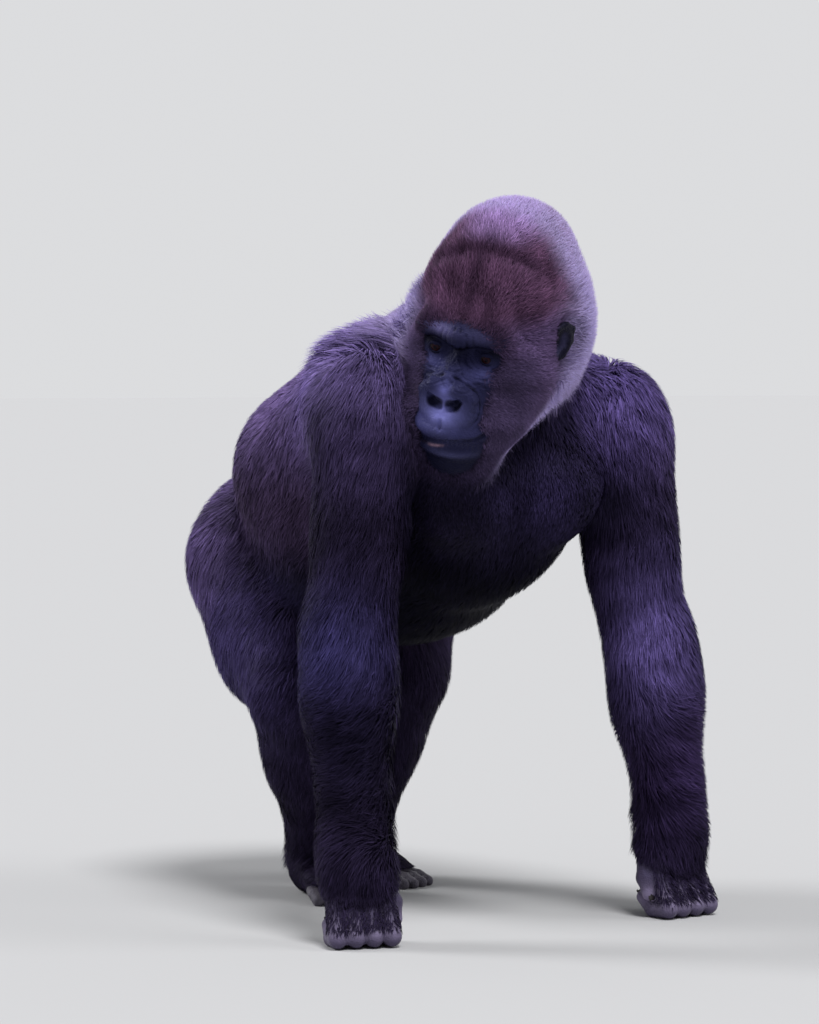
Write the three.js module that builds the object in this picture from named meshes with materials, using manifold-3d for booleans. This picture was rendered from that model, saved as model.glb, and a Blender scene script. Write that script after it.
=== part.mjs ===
// An adult female western lowland gorilla, life size, walking on her knuckles with her head turned to her right.
//
// Millimetres, +Z up. She faces -Y and her left side is +X. The flesh is a field: rounded shapes laid along the
// bones and blended into one another, each with the depth of the coat that grows on it. The field's surface, coat
// included, is drawn as facets and parted into named solids where one part of the body meets the next.
import * as THREE from "three";
import Module from "manifold-3d";

const wasm = await Module();
wasm.setup();

// ------------------------------------------------------------------ driving dimensions
const HEAD = { at: [-35, -272, 868], turn: [-53, 16, 14], scale: 1.045 };
const EYE = { out: 37, forward: -91, up: -3, radius: 13.2 };
const EYE_SLIT = { at: [38, -111, -3], radii: [10.5, 22, 6], turn: 10 };
const NOSTRIL = { at: [15, -146, -62], radii: [7, 16, 6], turn: -38 };
const SIDES = [
  { side: "right", s: -1 },
  { side: "left", s: 1 },
];
const JOINTS = {
  right: {
    shoulder: [-165, -165, 745], elbow: [-205, -150, 440], wrist: [-208, -190, 130],
    hip: [-130, 318, 520], knee: [-150, 140, 330], ankle: [-46, 290, 85],
  },
  left: {
    shoulder: [208, -170, 728], elbow: [279, -165, 410], wrist: [336, -138, 130],
    hip: [88, 330, 520], knee: [78, 275, 338], ankle: [70, 415, 85],
  },
};
// Hands and feet stand 3 mm into the floor, so that the floor cuts small flats on them.
const HANDS = {
  right: { at: [-208, -188, -3], turn: [-10, 0, 0] },
  left: { at: [331, -128, -3], turn: [12, 0, 0] },
};
const FEET = {
  right: { at: [-46, 290, -3], turn: [-10, 0, 0] },
  left: { at: [70, 415, -3], turn: [14, 0, 0] },
};
// The facets' size along x, y and z.
const FACET = {
  body: [70, 94, 70], head: [27, 27, 27], limb: [50, 50, 78], hand: [21, 21, 21], foot: [19, 23, 19],
  ear: [9, 9, 9], border: [62, 62, 62],
};
const GAP = 0.35; // between two solids
const MARGIN = 45; // how far a solid is drawn past its border before it is parted
const REACH = 70; // a shape further off than this leaves the field alone

// ------------------------------------------------------------------ shapes: each gives its distance from a point
const mix = (a, b, t) => a + (b - a) * t;
const blendShare = (a, b, width) => Math.min(1, Math.max(0, 0.5 + (0.5 * (b - a)) / width));
const lerp3 = (a, b, t) => a.map((v, i) => mix(v, b[i], t));
const plus = (a, b) => a.map((v, i) => v + b[i]);

function turned([yaw, pitch, roll]) {
  const [y, p, r] = [yaw, pitch, roll].map(THREE.MathUtils.degToRad);
  return new THREE.Matrix4()
    .makeRotationZ(y)
    .multiply(new THREE.Matrix4().makeRotationX(p))
    .multiply(new THREE.Matrix4().makeRotationY(r));
}

function ball(centre, radii, turn = [0, 0, 0]) {
  const e = turned(turn).elements;
  const [rx, ry, rz] = radii;
  const r = Math.max(...radii);
  const at = (x, y, z) => {
    const dx = x - centre[0], dy = y - centre[1], dz = z - centre[2];
    const ax = (dx * e[0] + dy * e[1] + dz * e[2]) / rx;
    const ay = (dx * e[4] + dy * e[5] + dz * e[6]) / ry;
    const az = (dx * e[8] + dy * e[9] + dz * e[10]) / rz;
    const k0 = Math.hypot(ax, ay, az);
    const k1 = Math.max(Math.hypot(ax / rx, ay / ry, az / rz), 1e-9);
    return (k0 * (k0 - 1)) / k1;
  };
  return { at, lo: centre.map((c) => c - r), hi: centre.map((c) => c + r) };
}

// A tapered rod with round ends; wide stretches its section along X.
function limb(a, b, ra, rb, wide = 1) {
  const d = b.map((v, i) => v - a[i]);
  const ll = d[0] * d[0] + d[1] * d[1] + d[2] * d[2];
  const across = new THREE.Vector3(1, 0, 0)
    .addScaledVector(new THREE.Vector3(...d), -d[0] / ll)
    .normalize();
  const squeeze = 1 / wide - 1;
  const at = (x, y, z) => {
    let qx = x - a[0], qy = y - a[1], qz = z - a[2];
    const t = Math.min(1, Math.max(0, (qx * d[0] + qy * d[1] + qz * d[2]) / ll));
    qx -= t * d[0];
    qy -= t * d[1];
    qz -= t * d[2];
    if (wide !== 1) {
      const w = (qx * across.x + qy * across.y + qz * across.z) * squeeze;
      qx += w * across.x;
      qy += w * across.y;
      qz += w * across.z;
    }
    return Math.hypot(qx, qy, qz) - mix(ra, rb, t);
  };
  const m = Math.max(ra, rb) * wide;
  return {
    at,
    lo: a.map((v, i) => Math.min(v, b[i]) - m),
    hi: a.map((v, i) => Math.max(v, b[i]) + m),
  };
}

const nearBox = (f, x, y, z) =>
  x > f.lo[0] - REACH && x < f.hi[0] + REACH && y > f.lo[1] - REACH &&
  y < f.hi[1] + REACH && z > f.lo[2] - REACH && z < f.hi[2] + REACH;

// A run of shapes in a frame of their own, blended one after another; out receives distance and coat depth.
class Flesh {
  constructor({ at = [0, 0, 0], turn = [0, 0, 0], scale = 1 } = {}) {
    this.shapes = [];
    this.scale = scale;
    this.outward = new THREE.Matrix4()
      .makeTranslation(...at)
      .multiply(turned(turn))
      .multiply(new THREE.Matrix4().makeScale(scale, scale, scale));
    this.inward = this.outward.clone().invert().elements;
  }
  add(shape, blend, coat) {
    return this.with("add", shape, blend, coat);
  }
  carve(shape, blend, coat) {
    return this.with("carve", shape, blend, coat);
  }
  // Where a shape lies, the coat has this depth.
  shave(shape, blend, coat) {
    return this.with("shave", shape, blend, coat);
  }
  with(kind, shape, blend, coat) {
    this.shapes.push({ kind, shape, blend, coat });
    return this;
  }
  place(p) {
    return new THREE.Vector3(...p).applyMatrix4(this.outward).toArray();
  }
  close() {
    const solid = this.shapes.filter((s) => s.kind === "add").map((s) => s.shape);
    const box = new THREE.Box3(
      new THREE.Vector3(...[0, 1, 2].map((i) => Math.min(...solid.map((f) => f.lo[i])))),
      new THREE.Vector3(...[0, 1, 2].map((i) => Math.max(...solid.map((f) => f.hi[i])))),
    ).applyMatrix4(this.outward);
    this.lo = box.min.toArray();
    this.hi = box.max.toArray();
    return this;
  }
  at(x, y, z, out) {
    const m = this.inward;
    const px = x * m[0] + y * m[4] + z * m[8] + m[12];
    const py = x * m[1] + y * m[5] + z * m[9] + m[13];
    const pz = x * m[2] + y * m[6] + z * m[10] + m[14];
    let d = 1000, c = 0;
    for (const { kind, shape, blend, coat } of this.shapes) {
      if (!nearBox(shape, px, py, pz)) continue;
      const e = shape.at(px, py, pz);
      if (kind === "shave") {
        c = mix(c, coat, blendShare(e, 0, blend));
      } else if (kind === "carve") {
        const h = blendShare(d, -e, blend);
        d = mix(d, -e, h) + blend * h * (1 - h);
        c = mix(c, coat, h);
      } else {
        const h = blendShare(d, e, blend);
        d = mix(e, d, h) - blend * h * (1 - h);
        c = mix(coat, c, h);
      }
    }
    out[0] = d * this.scale;
    out[1] = c * this.scale;
  }
}

// ------------------------------------------------------------------ the flesh
// The head's own frame: origin midway between the ears, -Y forward, its left side +X. The two lines run from its
// right to its left: the crease between the crown and its pads, and the mouth, whose left corner is raised.
const CREASE = [
  [-76, -46, 78], [-54, -60, 100], [-30, -62, 115], [0, -58, 125], [30, -55, 122], [54, -44, 112], [78, -22, 90],
];
const MOUTH = [
  [-55, -104, -129], [-45, -114, -129], [-30, -127, -125], [-8, -141, -120], [12, -144, -116], [30, -137, -112],
  [44, -122, -110], [53, -110, -103],
];

function headFlesh() {
  const b = new Flesh(HEAD);
  b.add(ball([0, 22, 46], [86, 102, 92]), 10, 16); // braincase
  b.add(ball([0, 34, 100], [62, 84, 58]), 40, 20); // crest pad
  b.add(ball([0, -60, -30], [60, 42, 58]), 22, 2); // middle of the face
  for (const { s } of SIDES.toReversed()) {
    b.add(ball([s * 32, -36, 70], [44, 44, 44]), 25, 12); // brow pad of the crown
    b.add(ball([s * 42, 62, 2], [54, 60, 74]), 40, 24); // nape muscle
    b.add(ball([s * 48, -18, 0], [34, 38, 54]), 30, 18); // temple
    b.add(limb([s * 6, -107, 22], [s * 54, -93, 22], 15, 13), 12, 2.5); // brow ridge
    b.add(limb([s * 54, -93, 22], [s * 70, -68, 3], 12.5, 11), 12, 5);
    b.add(limb([s * 57, -76, -12], [s * 66, -30, -20], 14, 20), 22, 8); // cheekbone
    b.add(ball([s * 51, -24, -46], [36, 54, 58], [0, -10, 0]), 32, 16); // chewing muscle
    b.add(limb([s * 46, -12, -80], [s * 24, -84, -146], 23, 22), 26, 12); // jaw
    b.add(ball([s * 34, -76, -38], [32, 30, 30]), 18, 2); // cheek under the eye
    b.add(ball([s * 48, -62, -92], [30, 44, 38]), 22, 8); // cheek beside the mouth
  }
  b.add(limb([-38, -76, 41], [38, -76, 41], 21, 21), 22, 6); // forehead
  b.add(ball([0, -84, -90], [50, 57, 58]), 24, 2.5); // muzzle
  b.add(ball([0, -110, -105], [49, 37, 18]), 12, 1.5); // upper lip
  b.add(ball([-2, -100, -134], [43, 37, 16]), 12, 2); // lower lip
  b.add(ball([0, -88, -158], [38, 34, 20]), 16, 6); // chin
  b.add(limb([0, -91, -4], [0, -121, -36], 11, 17), 14, 1.5); // bridge of the nose
  for (const { s } of SIDES.toReversed()) {
    b.add(ball([s * 18, -121, -66], [23, 21, 33], [0, 0, s * 6]), 10, 1); // nose lobes
    b.add(limb([s * 6, -136, -50], [s * 18, -137, -43], 6, 10), 6, 1); // nostril rims
    b.add(limb([s * 18, -137, -43], [s * 32, -129, -54], 10, 9), 5, 1);
    b.add(limb([s * 32, -129, -54], [s * 30, -130, -78], 9, 7), 5, 1);
    b.add(limb([s * 30, -130, -78], [s * 8, -139, -88], 7, 8), 6, 1);
    b.carve(ball([s * 38, -113, -2], [22, 20, 13], [0, 0, s * 10]), 10, 1.5); // eye socket
    b.carve(ball([s * 15, -149, -64], [14, 20, 7], [0, 0, -s * 38]), 3, 1); // nostril
    b.add(ball([s * 37, -89, -3], [18, 15.3, 13.5]), 9, 1); // lids
  }
  for (let i = 1; i < MOUTH.length; i++) b.carve(limb(MOUTH[i - 1], MOUTH[i], 2.8, 2.8), 4, 1);
  for (let i = 1; i < CREASE.length; i++) b.carve(limb(CREASE[i - 1], CREASE[i], 3, 3), 24, 13);
  b.shave(ball([0, -122, -132], [56, 46, 46]), 12, 2.2); // round the mouth
  for (const { s } of SIDES.toReversed()) b.shave(ball([s * 97, -4, 6], [34, 25, 36]), 14, 3); // round the ear
  return b.close();
}

function earFlesh(s) {
  return new Flesh(HEAD)
    .add(ball([s * 99, 2, 7], [8, 18, 27], [-s * 32, 0, s * 6]), 5, 2)
    .carve(ball([s * 106, -5, 6], [8, 11, 18], [-s * 32, 0, s * 6]), 4, 1)
    .close();
}

function trunkFlesh({ shoulders = true, neck = true } = {}) {
  const b = new Flesh();
  b.add(ball([18, -45, 664], [170, 215, 196], [7, -22, 0]), 10, 16); // ribs
  b.add(ball([-8, 150, 602], [190, 190, 180], [7, -15, 0]), 60, 16); // belly
  b.add(ball([15, 130, 515], [160, 160, 100]), 50, 20); // underbelly
  b.add(ball([-35, 325, 560], [150, 115, 125]), 45, 20); // pelvis
  for (const { s } of SIDES.toReversed()) {
    b.add(ball([-35 + s * 92, 335, 510], [84, 105, 112]), 40, 24); // buttock
    b.add(ball([15 + s * 66, -215, 645], [78, 72, 78]), 40, 5); // breast muscle
  }
  for (const { s } of SIDES.toReversed())
    b.add(limb([10 + s * 108, -30, 745], [-15 + s * 95, 170, 668], 112, 112), 60, 16); // broad back muscle
  b.add(limb([18, -80, 790], [-28, 270, 650], 92, 90), 60, 16); // spine
  b.add(limb([15, -10, 780], [0, -140, 808], 102, 102), 60, 18); // withers
  if (shoulders) b.add(limb([-140, -120, 750], [165, -140, 735], 98, 92), 50, 18);
  if (neck) b.add(limb([0, -130, 800], [12, -226, 866], 112, 84), 60, 20);
  return b.close();
}

function armFlesh(s, { shoulder, elbow, wrist }) {
  const middle = lerp3(shoulder, elbow, 0.5);
  return new Flesh()
    .add(ball(plus(shoulder, [s * 8, 0, -20]), [72, 82, 105]), 10, 18) // shoulder cap
    .add(limb(shoulder, elbow, 56, 47), 30, 18)
    .add(limb(elbow, wrist, 52, 38), 30, 20)
    .add(ball(lerp3(elbow, wrist, 0.28), [52, 54, 80]), 30, 20) // forearm muscle
    .add(ball(plus(middle, [s * 4, -14, 0]), [40, 54, 100]), 30, 18) // biceps
    .add(ball(plus(middle, [s * 3, 22, -10]), [41, 52, 110]), 30, 18) // triceps
    .close();
}

// A hand's own frame: the wrist above the origin, fingers forward, thumb on the inner side. The fingers are
// flexed, so that the backs of their middle bones lie on the floor.
function handFlesh(s, frame) {
  const b = new Flesh(frame);
  b.add(limb([0, 4, 140], [0, -4, 104], 33, 32, 1.2), 10, 13);
  b.add(ball([s * 2, -6, 92], [48, 27, 42]), 18, 8);
  [6, 0, 1, 6].forEach((drop, i) => {
    const x = s * (38 - 25 * i);
    b.add(limb([x * 0.92, -14, 84 - drop], [x * 1.03, -47, 21], 15, 14), 6, 4);
    b.add(limb([x * 1.03, -47, 18], [x, -12, 14], 15.5, 13.5), 6, 1);
    b.add(limb([x, -12, 14], [x * 0.96, 12, 30], 13, 10.5), 6, 1);
  });
  b.add(limb([-s * 34, 6, 96], [-s * 52, -8, 62], 16, 12), 12, 1.5);
  b.add(limb([-s * 52, -8, 62], [-s * 53, -18, 38], 11.5, 9), 6, 1);
  return b.close();
}

function thighFlesh(s, { hip, knee }) {
  return new Flesh()
    .add(limb(hip, knee, 96, 60), 10, 24)
    .add(ball(plus(lerp3(hip, knee, 0.5), [s * 10, 35, -15]), [64, 72, 100]), 40, 24) // back of the thigh
    .close();
}

function shankFlesh({ knee, ankle }) {
  return new Flesh()
    .add(limb(knee, ankle, 58, 36), 10, 20)
    .add(ball(plus(lerp3(knee, ankle, 0.35), [0, 12, 0]), [48, 52, 80]), 30, 18) // calf
    .close();
}

// A foot's own frame: on the floor under the ankle, toes forward, big toe on the inner side.
function footFlesh(s, frame) {
  const b = new Flesh(frame);
  b.add(limb([0, 0, 92], [0, 4, 52], 35, 33), 10, 16);
  b.add(ball([0, 28, 30], [32, 42, 34]), 20, 4); // heel
  b.add(limb([0, -4, 44], [s * 5, -84, 22], 32, 23, 1.4), 25, 5);
  [-6, 2, 6, 6].forEach((y, i) => {
    const x = s * (34 - 17 * i);
    b.add(limb([x, -84 - y * 0.4, 19], [x * 1.12, -116 - y, 16], 12, 11), 6, 1);
    b.add(limb([x * 1.12, -116 - y, 16], [x * 1.14, -138 - y, 9], 10.5, 9), 5, 1);
  });
  b.add(limb([-s * 16, -22, 26], [-s * 46, -66, 18], 21, 16), 12, 2);
  b.add(limb([-s * 46, -66, 17], [-s * 56, -102, 13], 15, 12), 7, 1);
  return b.close();
}

// ------------------------------------------------------------------ fields
const pair = [0, 0];

// Distance from the coat's surface of several runs of flesh: [[flesh, blend], ...].
function coatField(parts) {
  return (x, y, z) => {
    let d = 1000, c = 0;
    for (const [flesh, blend] of parts) {
      if (!nearBox(flesh, x, y, z)) continue;
      flesh.at(x, y, z, pair);
      const h = blendShare(d, pair[0], blend);
      d = mix(pair[0], d, h) - blend * h * (1 - h);
      c = mix(pair[1], c, h);
    }
    return d - c;
  };
}

const boxField = (lo, hi) => (x, y, z) =>
  Math.max(lo[0] - x, x - hi[0], lo[1] - y, y - hi[1], lo[2] - z, z - hi[2]);

// ------------------------------------------------------------------ facets: the surface where a field is nought
function surface(field, lo, hi, step) {
  const n = [0, 1, 2].map((i) => Math.ceil((hi[i] - lo[i]) / step[i]) + 3);
  const start = lo.map((v, i) => v - step[i]);
  const at = (i, j, k) => (i * n[1] + j) * n[2] + k;
  const value = new Float64Array(n[0] * n[1] * n[2]);
  for (let i = 0; i < n[0]; i++)
    for (let j = 0; j < n[1]; j++)
      for (let k = 0; k < n[2]; k++)
        value[at(i, j, k)] = field(start[0] + i * step[0], start[1] + j * step[1], start[2] + k * step[2]);
  fillCheckers(value, n, at, 0.05 * Math.min(...step));

  const cell = new Int32Array(value.length).fill(-1);
  const points = [];
  const corners = [0, 1, 2, 3, 4, 5, 6, 7].map((c) => [c >> 2, (c >> 1) & 1, c & 1]);
  for (let i = 0; i < n[0] - 1; i++)
    for (let j = 0; j < n[1] - 1; j++)
      for (let k = 0; k < n[2] - 1; k++) {
        const sum = [0, 0, 0];
        let count = 0;
        for (const a of corners)
          for (let axis = 0; axis < 3; axis++) {
            if (a[axis]) continue;
            const b = a.map((v, m) => (m === axis ? 1 : v));
            const va = value[at(i + a[0], j + a[1], k + a[2])];
            const vb = value[at(i + b[0], j + b[1], k + b[2])];
            if (va < 0 === vb < 0) continue;
            const t = va / (va - vb);
            [i, j, k].forEach((g, m) => (sum[m] += g + mix(a[m], b[m], t)));
            count++;
          }
        if (!count) continue;
        cell[at(i, j, k)] = points.length;
        points.push(sum.map((v, m) => start[m] + (v / count) * step[m]));
      }

  const faces = [];
  for (let i = 1; i < n[0] - 1; i++)
    for (let j = 1; j < n[1] - 1; j++)
      for (let k = 1; k < n[2] - 1; k++)
        for (let axis = 0; axis < 3; axis++) {
          const here = [i, j, k];
          const next = here.map((v, m) => (m === axis ? v + 1 : v));
          const inside = value[at(...here)] < 0;
          if (inside === value[at(...next)] < 0) continue;
          const u = (axis + 1) % 3, v = (axis + 2) % 3;
          const ring = [[1, 1], [0, 1], [0, 0], [1, 0]].map(([du, dv]) => {
            const c = [...here];
            c[u] -= du;
            c[v] -= dv;
            return cell[at(...c)];
          });
          if (!inside) ring.reverse();
          faces.push(...splitSquare(ring, points));
        }
  return { points, faces };
}

// Two solid corners that meet only across a square's diagonal would pinch the surface, so a third is filled in.
function fillCheckers(value, n, at, depth) {
  const squares = [[[1, 0, 0], [0, 1, 0]], [[0, 1, 0], [0, 0, 1]], [[0, 0, 1], [1, 0, 0]]];
  for (let changed = true; changed; ) {
    changed = false;
    for (let i = 0; i < n[0] - 1; i++)
      for (let j = 0; j < n[1] - 1; j++)
        for (let k = 0; k < n[2] - 1; k++)
          for (const [u, v] of squares) {
            const a = at(i, j, k);
            const b = at(i + u[0], j + u[1], k + u[2]);
            const c = at(i + v[0], j + v[1], k + v[2]);
            const d = at(i + u[0] + v[0], j + u[1] + v[1], k + u[2] + v[2]);
            if (value[a] < 0 !== value[d] < 0 || value[b] < 0 !== value[c] < 0) continue;
            if (value[a] < 0 === value[b] < 0) continue;
            const [p, q] = value[a] < 0 ? [b, c] : [a, d];
            value[value[p] < value[q] ? p : q] = -depth;
            changed = true;
          }
  }
}

function splitSquare([a, b, c, d], points) {
  const apart = (p, q) => Math.hypot(...points[p].map((v, i) => v - points[q][i]));
  return apart(a, c) <= apart(b, d) ? [[a, b, c], [a, c, d]] : [[a, b, d], [b, c, d]];
}

// Moves the facets' corners on to the true surface.
function settle(field, points, most) {
  const h = 0.5;
  return points.map((start) => {
    let p = start;
    for (let round = 0; round < 2; round++) {
      const d = field(...p);
      const slope = [0, 1, 2].map((i) => {
        const q = [...p], r = [...p];
        q[i] += h;
        r[i] -= h;
        return (field(...q) - field(...r)) / (2 * h);
      });
      const steep = Math.max(0.3, slope.reduce((sum, v) => sum + v * v, 0));
      const move = slope.map((v) => (-d * v) / steep);
      const k = Math.min(1, most / Math.max(Math.hypot(...move), 1e-9));
      p = p.map((v, i) => v + move[i] * k);
    }
    return p;
  });
}

// ------------------------------------------------------------------ solids
function solidOf({ points, faces }) {
  return new wasm.Manifold(
    new wasm.Mesh({
      numProp: 3,
      vertProperties: new Float32Array(points.flat()),
      triVerts: new Uint32Array(faces.flat()),
    }),
  );
}

// The same facets with each corner moved along its normal; a negative distance shrinks them.
function grown({ points, faces }, distance) {
  const normals = points.map(() => new THREE.Vector3());
  for (const face of faces) {
    const [a, b, c] = face.map((i) => new THREE.Vector3(...points[i]));
    const normal = b.sub(a).cross(c.sub(a));
    for (const i of face) normals[i].add(normal);
  }
  const moved = points.map((p, i) => plus(p, normals[i].normalize().multiplyScalar(distance).toArray()));
  return { points: moved, faces };
}

function solidOfGeometry(geometry) {
  const merged = new Map();
  const points = [], index = [];
  const position = geometry.toNonIndexed().getAttribute("position");
  for (let i = 0; i < position.count; i++) {
    const p = [position.getX(i), position.getY(i), position.getZ(i)];
    const key = p.map((v) => v.toFixed(3)).join();
    if (!merged.has(key)) merged.set(key, points.push(p) - 1);
    index.push(merged.get(key));
  }
  const faces = [];
  for (let i = 0; i < index.length; i += 3) {
    const [a, b, c] = index.slice(i, i + 3);
    if (a !== b && b !== c && c !== a) faces.push([a, b, c]);
  }
  return solidOf({ points, faces });
}

// A large block that fills the space on the side of a plane that the direction points to.
function beyond(point, direction, from = 0) {
  const size = 1600;
  const n = new THREE.Vector3(...direction).normalize();
  const block = new THREE.BoxGeometry(size, size, size).translate(0, 0, size / 2 + from);
  block.applyQuaternion(new THREE.Quaternion().setFromUnitVectors(new THREE.Vector3(0, 0, 1), n));
  return solidOfGeometry(block.translate(...point));
}

const largest = (solid) =>
  solid.decompose().reduce((best, s) => (s.volume() > best.volume() ? s : best));

// ------------------------------------------------------------------ the parts of the body
const head = headFlesh();
const arms = {}, hands = {}, thighs = {}, shanks = {}, feet = {};
for (const { side, s } of SIDES) {
  arms[side] = armFlesh(s, JOINTS[side]);
  hands[side] = handFlesh(s, HANDS[side]);
  thighs[side] = thighFlesh(s, JOINTS[side]);
  shanks[side] = shankFlesh(JOINTS[side]);
  feet[side] = footFlesh(s, FEET[side]);
}
const limbs = SIDES.flatMap(({ side }) => [
  [thighs[side], 45], [shanks[side], 20], [feet[side], 16], [arms[side], 24], [hands[side], 22],
]);
const whole = coatField([[trunkFlesh(), 10], ...limbs, [head, 30]]);

// What each part of the body claims: a point belongs to the part whose flesh it lies deepest in.
const neckRod = new Flesh().add(limb([2, -125, 812], [10, -218, 862], 128, 104), 1, 20).close();
const claims = {
  head: coatField([[head, 1]]),
  neck: coatField([[neckRod, 1]]),
  trunk: coatField([[trunkFlesh({ shoulders: false, neck: false }), 1]]),
};
for (const { side } of SIDES) {
  claims["arm_" + side] = coatField([[arms[side], 1], [hands[side], 1]]);
  claims["leg_" + side] = coatField([[thighs[side], 1], [shanks[side], 20], [feet[side], 1]]);
}
const around = (lo, hi, m) => [lo.map((v) => v - m), hi.map((v) => v + m)];
const union = (a, b) => ({
  lo: a.lo.map((v, i) => Math.min(v, b.lo[i])),
  hi: a.hi.map((v, i) => Math.max(v, b.hi[i])),
});

function territory(name, { lo, hi }) {
  const others = Object.keys(claims).filter((key) => key !== name);
  const [low, high] = around(lo, hi, MARGIN + 15);
  const fence = boxField(low, high);
  const field = (x, y, z) =>
    Math.max(
      fence(x, y, z),
      Math.min(900, claims[name](x, y, z)) - Math.min(950, ...others.map((key) => claims[key](x, y, z))),
    );
  return surface(field, low, high, FACET.border);
}

function drawn({ lo, hi }, step) {
  const [low, high] = around(lo, hi, MARGIN);
  const fence = boxField(low, high);
  const mesh = surface((x, y, z) => Math.max(whole(x, y, z), fence(x, y, z)), low, high, step);
  const settled = settle(whole, mesh.points, 0.3 * Math.min(...step));
  mesh.points = mesh.points.map((p, i) => (whole(...p) > fence(...p) ? settled[i] : p));
  return mesh;
}

const above = beyond([0, 0, 0], [0, 0, 1]);
const borders = {};
for (const [name, box] of Object.entries({
  head,
  neck: neckRod,
  arm_right: union(arms.right, hands.right),
  arm_left: union(arms.left, hands.left),
  leg_right: [thighs.right, shanks.right, feet.right].reduce(union),
  leg_left: [thighs.left, shanks.left, feet.left].reduce(union),
}))
  borders[name] = territory(name, box);
const shrunk = (name) => solidOf(grown(borders[name], -GAP)).intersect(solidOf(borders[name]));
const EARS = ["ear_right", "ear_left"];
const without = (solid, names) => names.reduce((left, name) => left.subtract(solidOf(borders[name])), solid);

const solids = {};

// A small rounded hole in the head, such as the one between the eyelids.
function opening(s, { at, radii, turn }) {
  const geometry = new THREE.SphereGeometry(1, 10, 6).scale(...radii);
  geometry.applyMatrix4(turned([s * turn, 0, 0])).translate(s * at[0], at[1], at[2]);
  geometry.applyMatrix4(turned(HEAD.turn).scale(new THREE.Vector3().setScalar(HEAD.scale)));
  return solidOfGeometry(geometry.translate(...HEAD.at));
}

function buildHead() {
  const mesh = drawn(head, FACET.head);
  let solid = solidOf(mesh).intersect(shrunk("head"));
  const round = (radius, centre) =>
    solidOfGeometry(new THREE.SphereGeometry(radius, 14, 9).translate(...centre));
  for (const { side, s } of SIDES) {
    const centre = head.place([s * EYE.out, EYE.forward, EYE.up]);
    const radius = EYE.radius * HEAD.scale;
    solids["eye_" + side] = round(radius, centre);
    solid = solid.subtract(round(radius + GAP * 1.4, centre)).subtract(opening(s, EYE_SLIT));
    solid = solid.subtract(opening(s, NOSTRIL));
    const ear = earFlesh(s);
    const field = coatField([[ear, 1]]);
    const [lo, hi] = around(ear.lo, ear.hi, 8);
    const shell = surface(field, lo, hi, FACET.ear);
    shell.points = settle(field, shell.points, 2);
    borders["ear_" + side] = grown(shell, GAP);
    solids["ear_" + side] = largest(solidOf(shell).subtract(solidOf(grown(mesh, GAP))));
  }
  solids.head = largest(solid);
}

// The middle of a joint, and the way across it from one bone to the next.
function across(a, b, c) {
  const [p, q, r] = [a, b, c].map((v) => new THREE.Vector3(...v));
  const along = q.clone().sub(p).normalize().add(r.clone().sub(q).normalize());
  return [b, along.toArray()];
}

function cutInThree(solid, names, firstCut, secondCut) {
  const back = (cut) => [cut[0], cut[1].map((v) => -v)];
  const [a, b] = [firstCut, secondCut];
  solids[names[0]] = largest(solid.intersect(beyond(...back(a), GAP / 2)));
  solids[names[1]] = largest(
    solid.intersect(beyond(...a, GAP / 2)).intersect(beyond(...back(b), GAP / 2)),
  );
  return solid.intersect(beyond(...b, GAP / 2));
}

function buildArm(side) {
  const { shoulder, elbow, wrist } = JOINTS[side];
  const claim = shrunk("arm_" + side);
  const arm = without(solidOf(drawn(arms[side], FACET.limb)).intersect(claim), ["head", ...EARS, "neck"]);
  const hand = without(solidOf(drawn(hands[side], FACET.hand)).intersect(claim), ["head"]);
  const wristCut = [plus(wrist, [0, 0, -8]), [0, 0, -1]];
  cutInThree(arm, ["upper_arm_" + side, "forearm_" + side], across(shoulder, elbow, wrist), wristCut);
  solids["hand_" + side] = largest(hand.intersect(beyond(...wristCut, GAP / 2)).intersect(above));
}

function buildLeg(side) {
  const { hip, knee, ankle } = JOINTS[side];
  const other = side === "left" ? ["leg_right"] : [];
  const claim = shrunk("leg_" + side);
  const leg = without(solidOf(drawn(union(thighs[side], shanks[side]), FACET.limb)).intersect(claim), other);
  const foot = without(solidOf(drawn(feet[side], FACET.foot)).intersect(claim), other);
  const ankleCut = [plus(ankle, [0, 0, 4]), [0, -0.2, -1]];
  cutInThree(leg, ["thigh_" + side, "lower_leg_" + side], across(hip, knee, ankle), ankleCut);
  solids["foot_" + side] = largest(foot.intersect(beyond(...ankleCut, GAP / 2)).intersect(above));
}

function buildTrunk() {
  const trunk = trunkFlesh();
  const mesh = solidOf(drawn(trunk, FACET.body));
  const limbNames = ["head", ...EARS, "arm_right", "arm_left", "leg_right", "leg_left"];
  solids.neck = largest(without(mesh.intersect(shrunk("neck")), limbNames));
  const rest = without(mesh, [...limbNames, "neck"]);
  const ribsEnd = [[5, 70, 600], [-0.11, 0.92, -0.37]];
  const bellyEnd = [[-25, 240, 560], [-0.1, 0.96, -0.2]];
  solids.pelvis = largest(cutInThree(rest, ["chest", "belly"], ribsEnd, bellyEnd));
}

buildHead();
for (const { side } of SIDES) buildArm(side);
for (const { side } of SIDES) buildLeg(side);
buildTrunk();

// ------------------------------------------------------------------ the scene graph
const COAT = (color) => ({ color, roughness: 0.85, metalness: 0 });
const COLOURS = [
  [/^eye/, { color: 0x3a1d10, roughness: 0.08, metalness: 0 }],
  [/^ear/, { color: 0x16131a, roughness: 0.6, metalness: 0 }],
  [/^(hand|foot)/, { color: 0x1b181e, roughness: 0.6, metalness: 0 }],
  [/^head/, COAT(0x3b2f30)],
  [/^neck/, COAT(0x4a4447)],
  [/^(belly|pelvis)/, COAT(0x2c2729)],
  [/./, COAT(0x1d1a20)],
];

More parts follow.
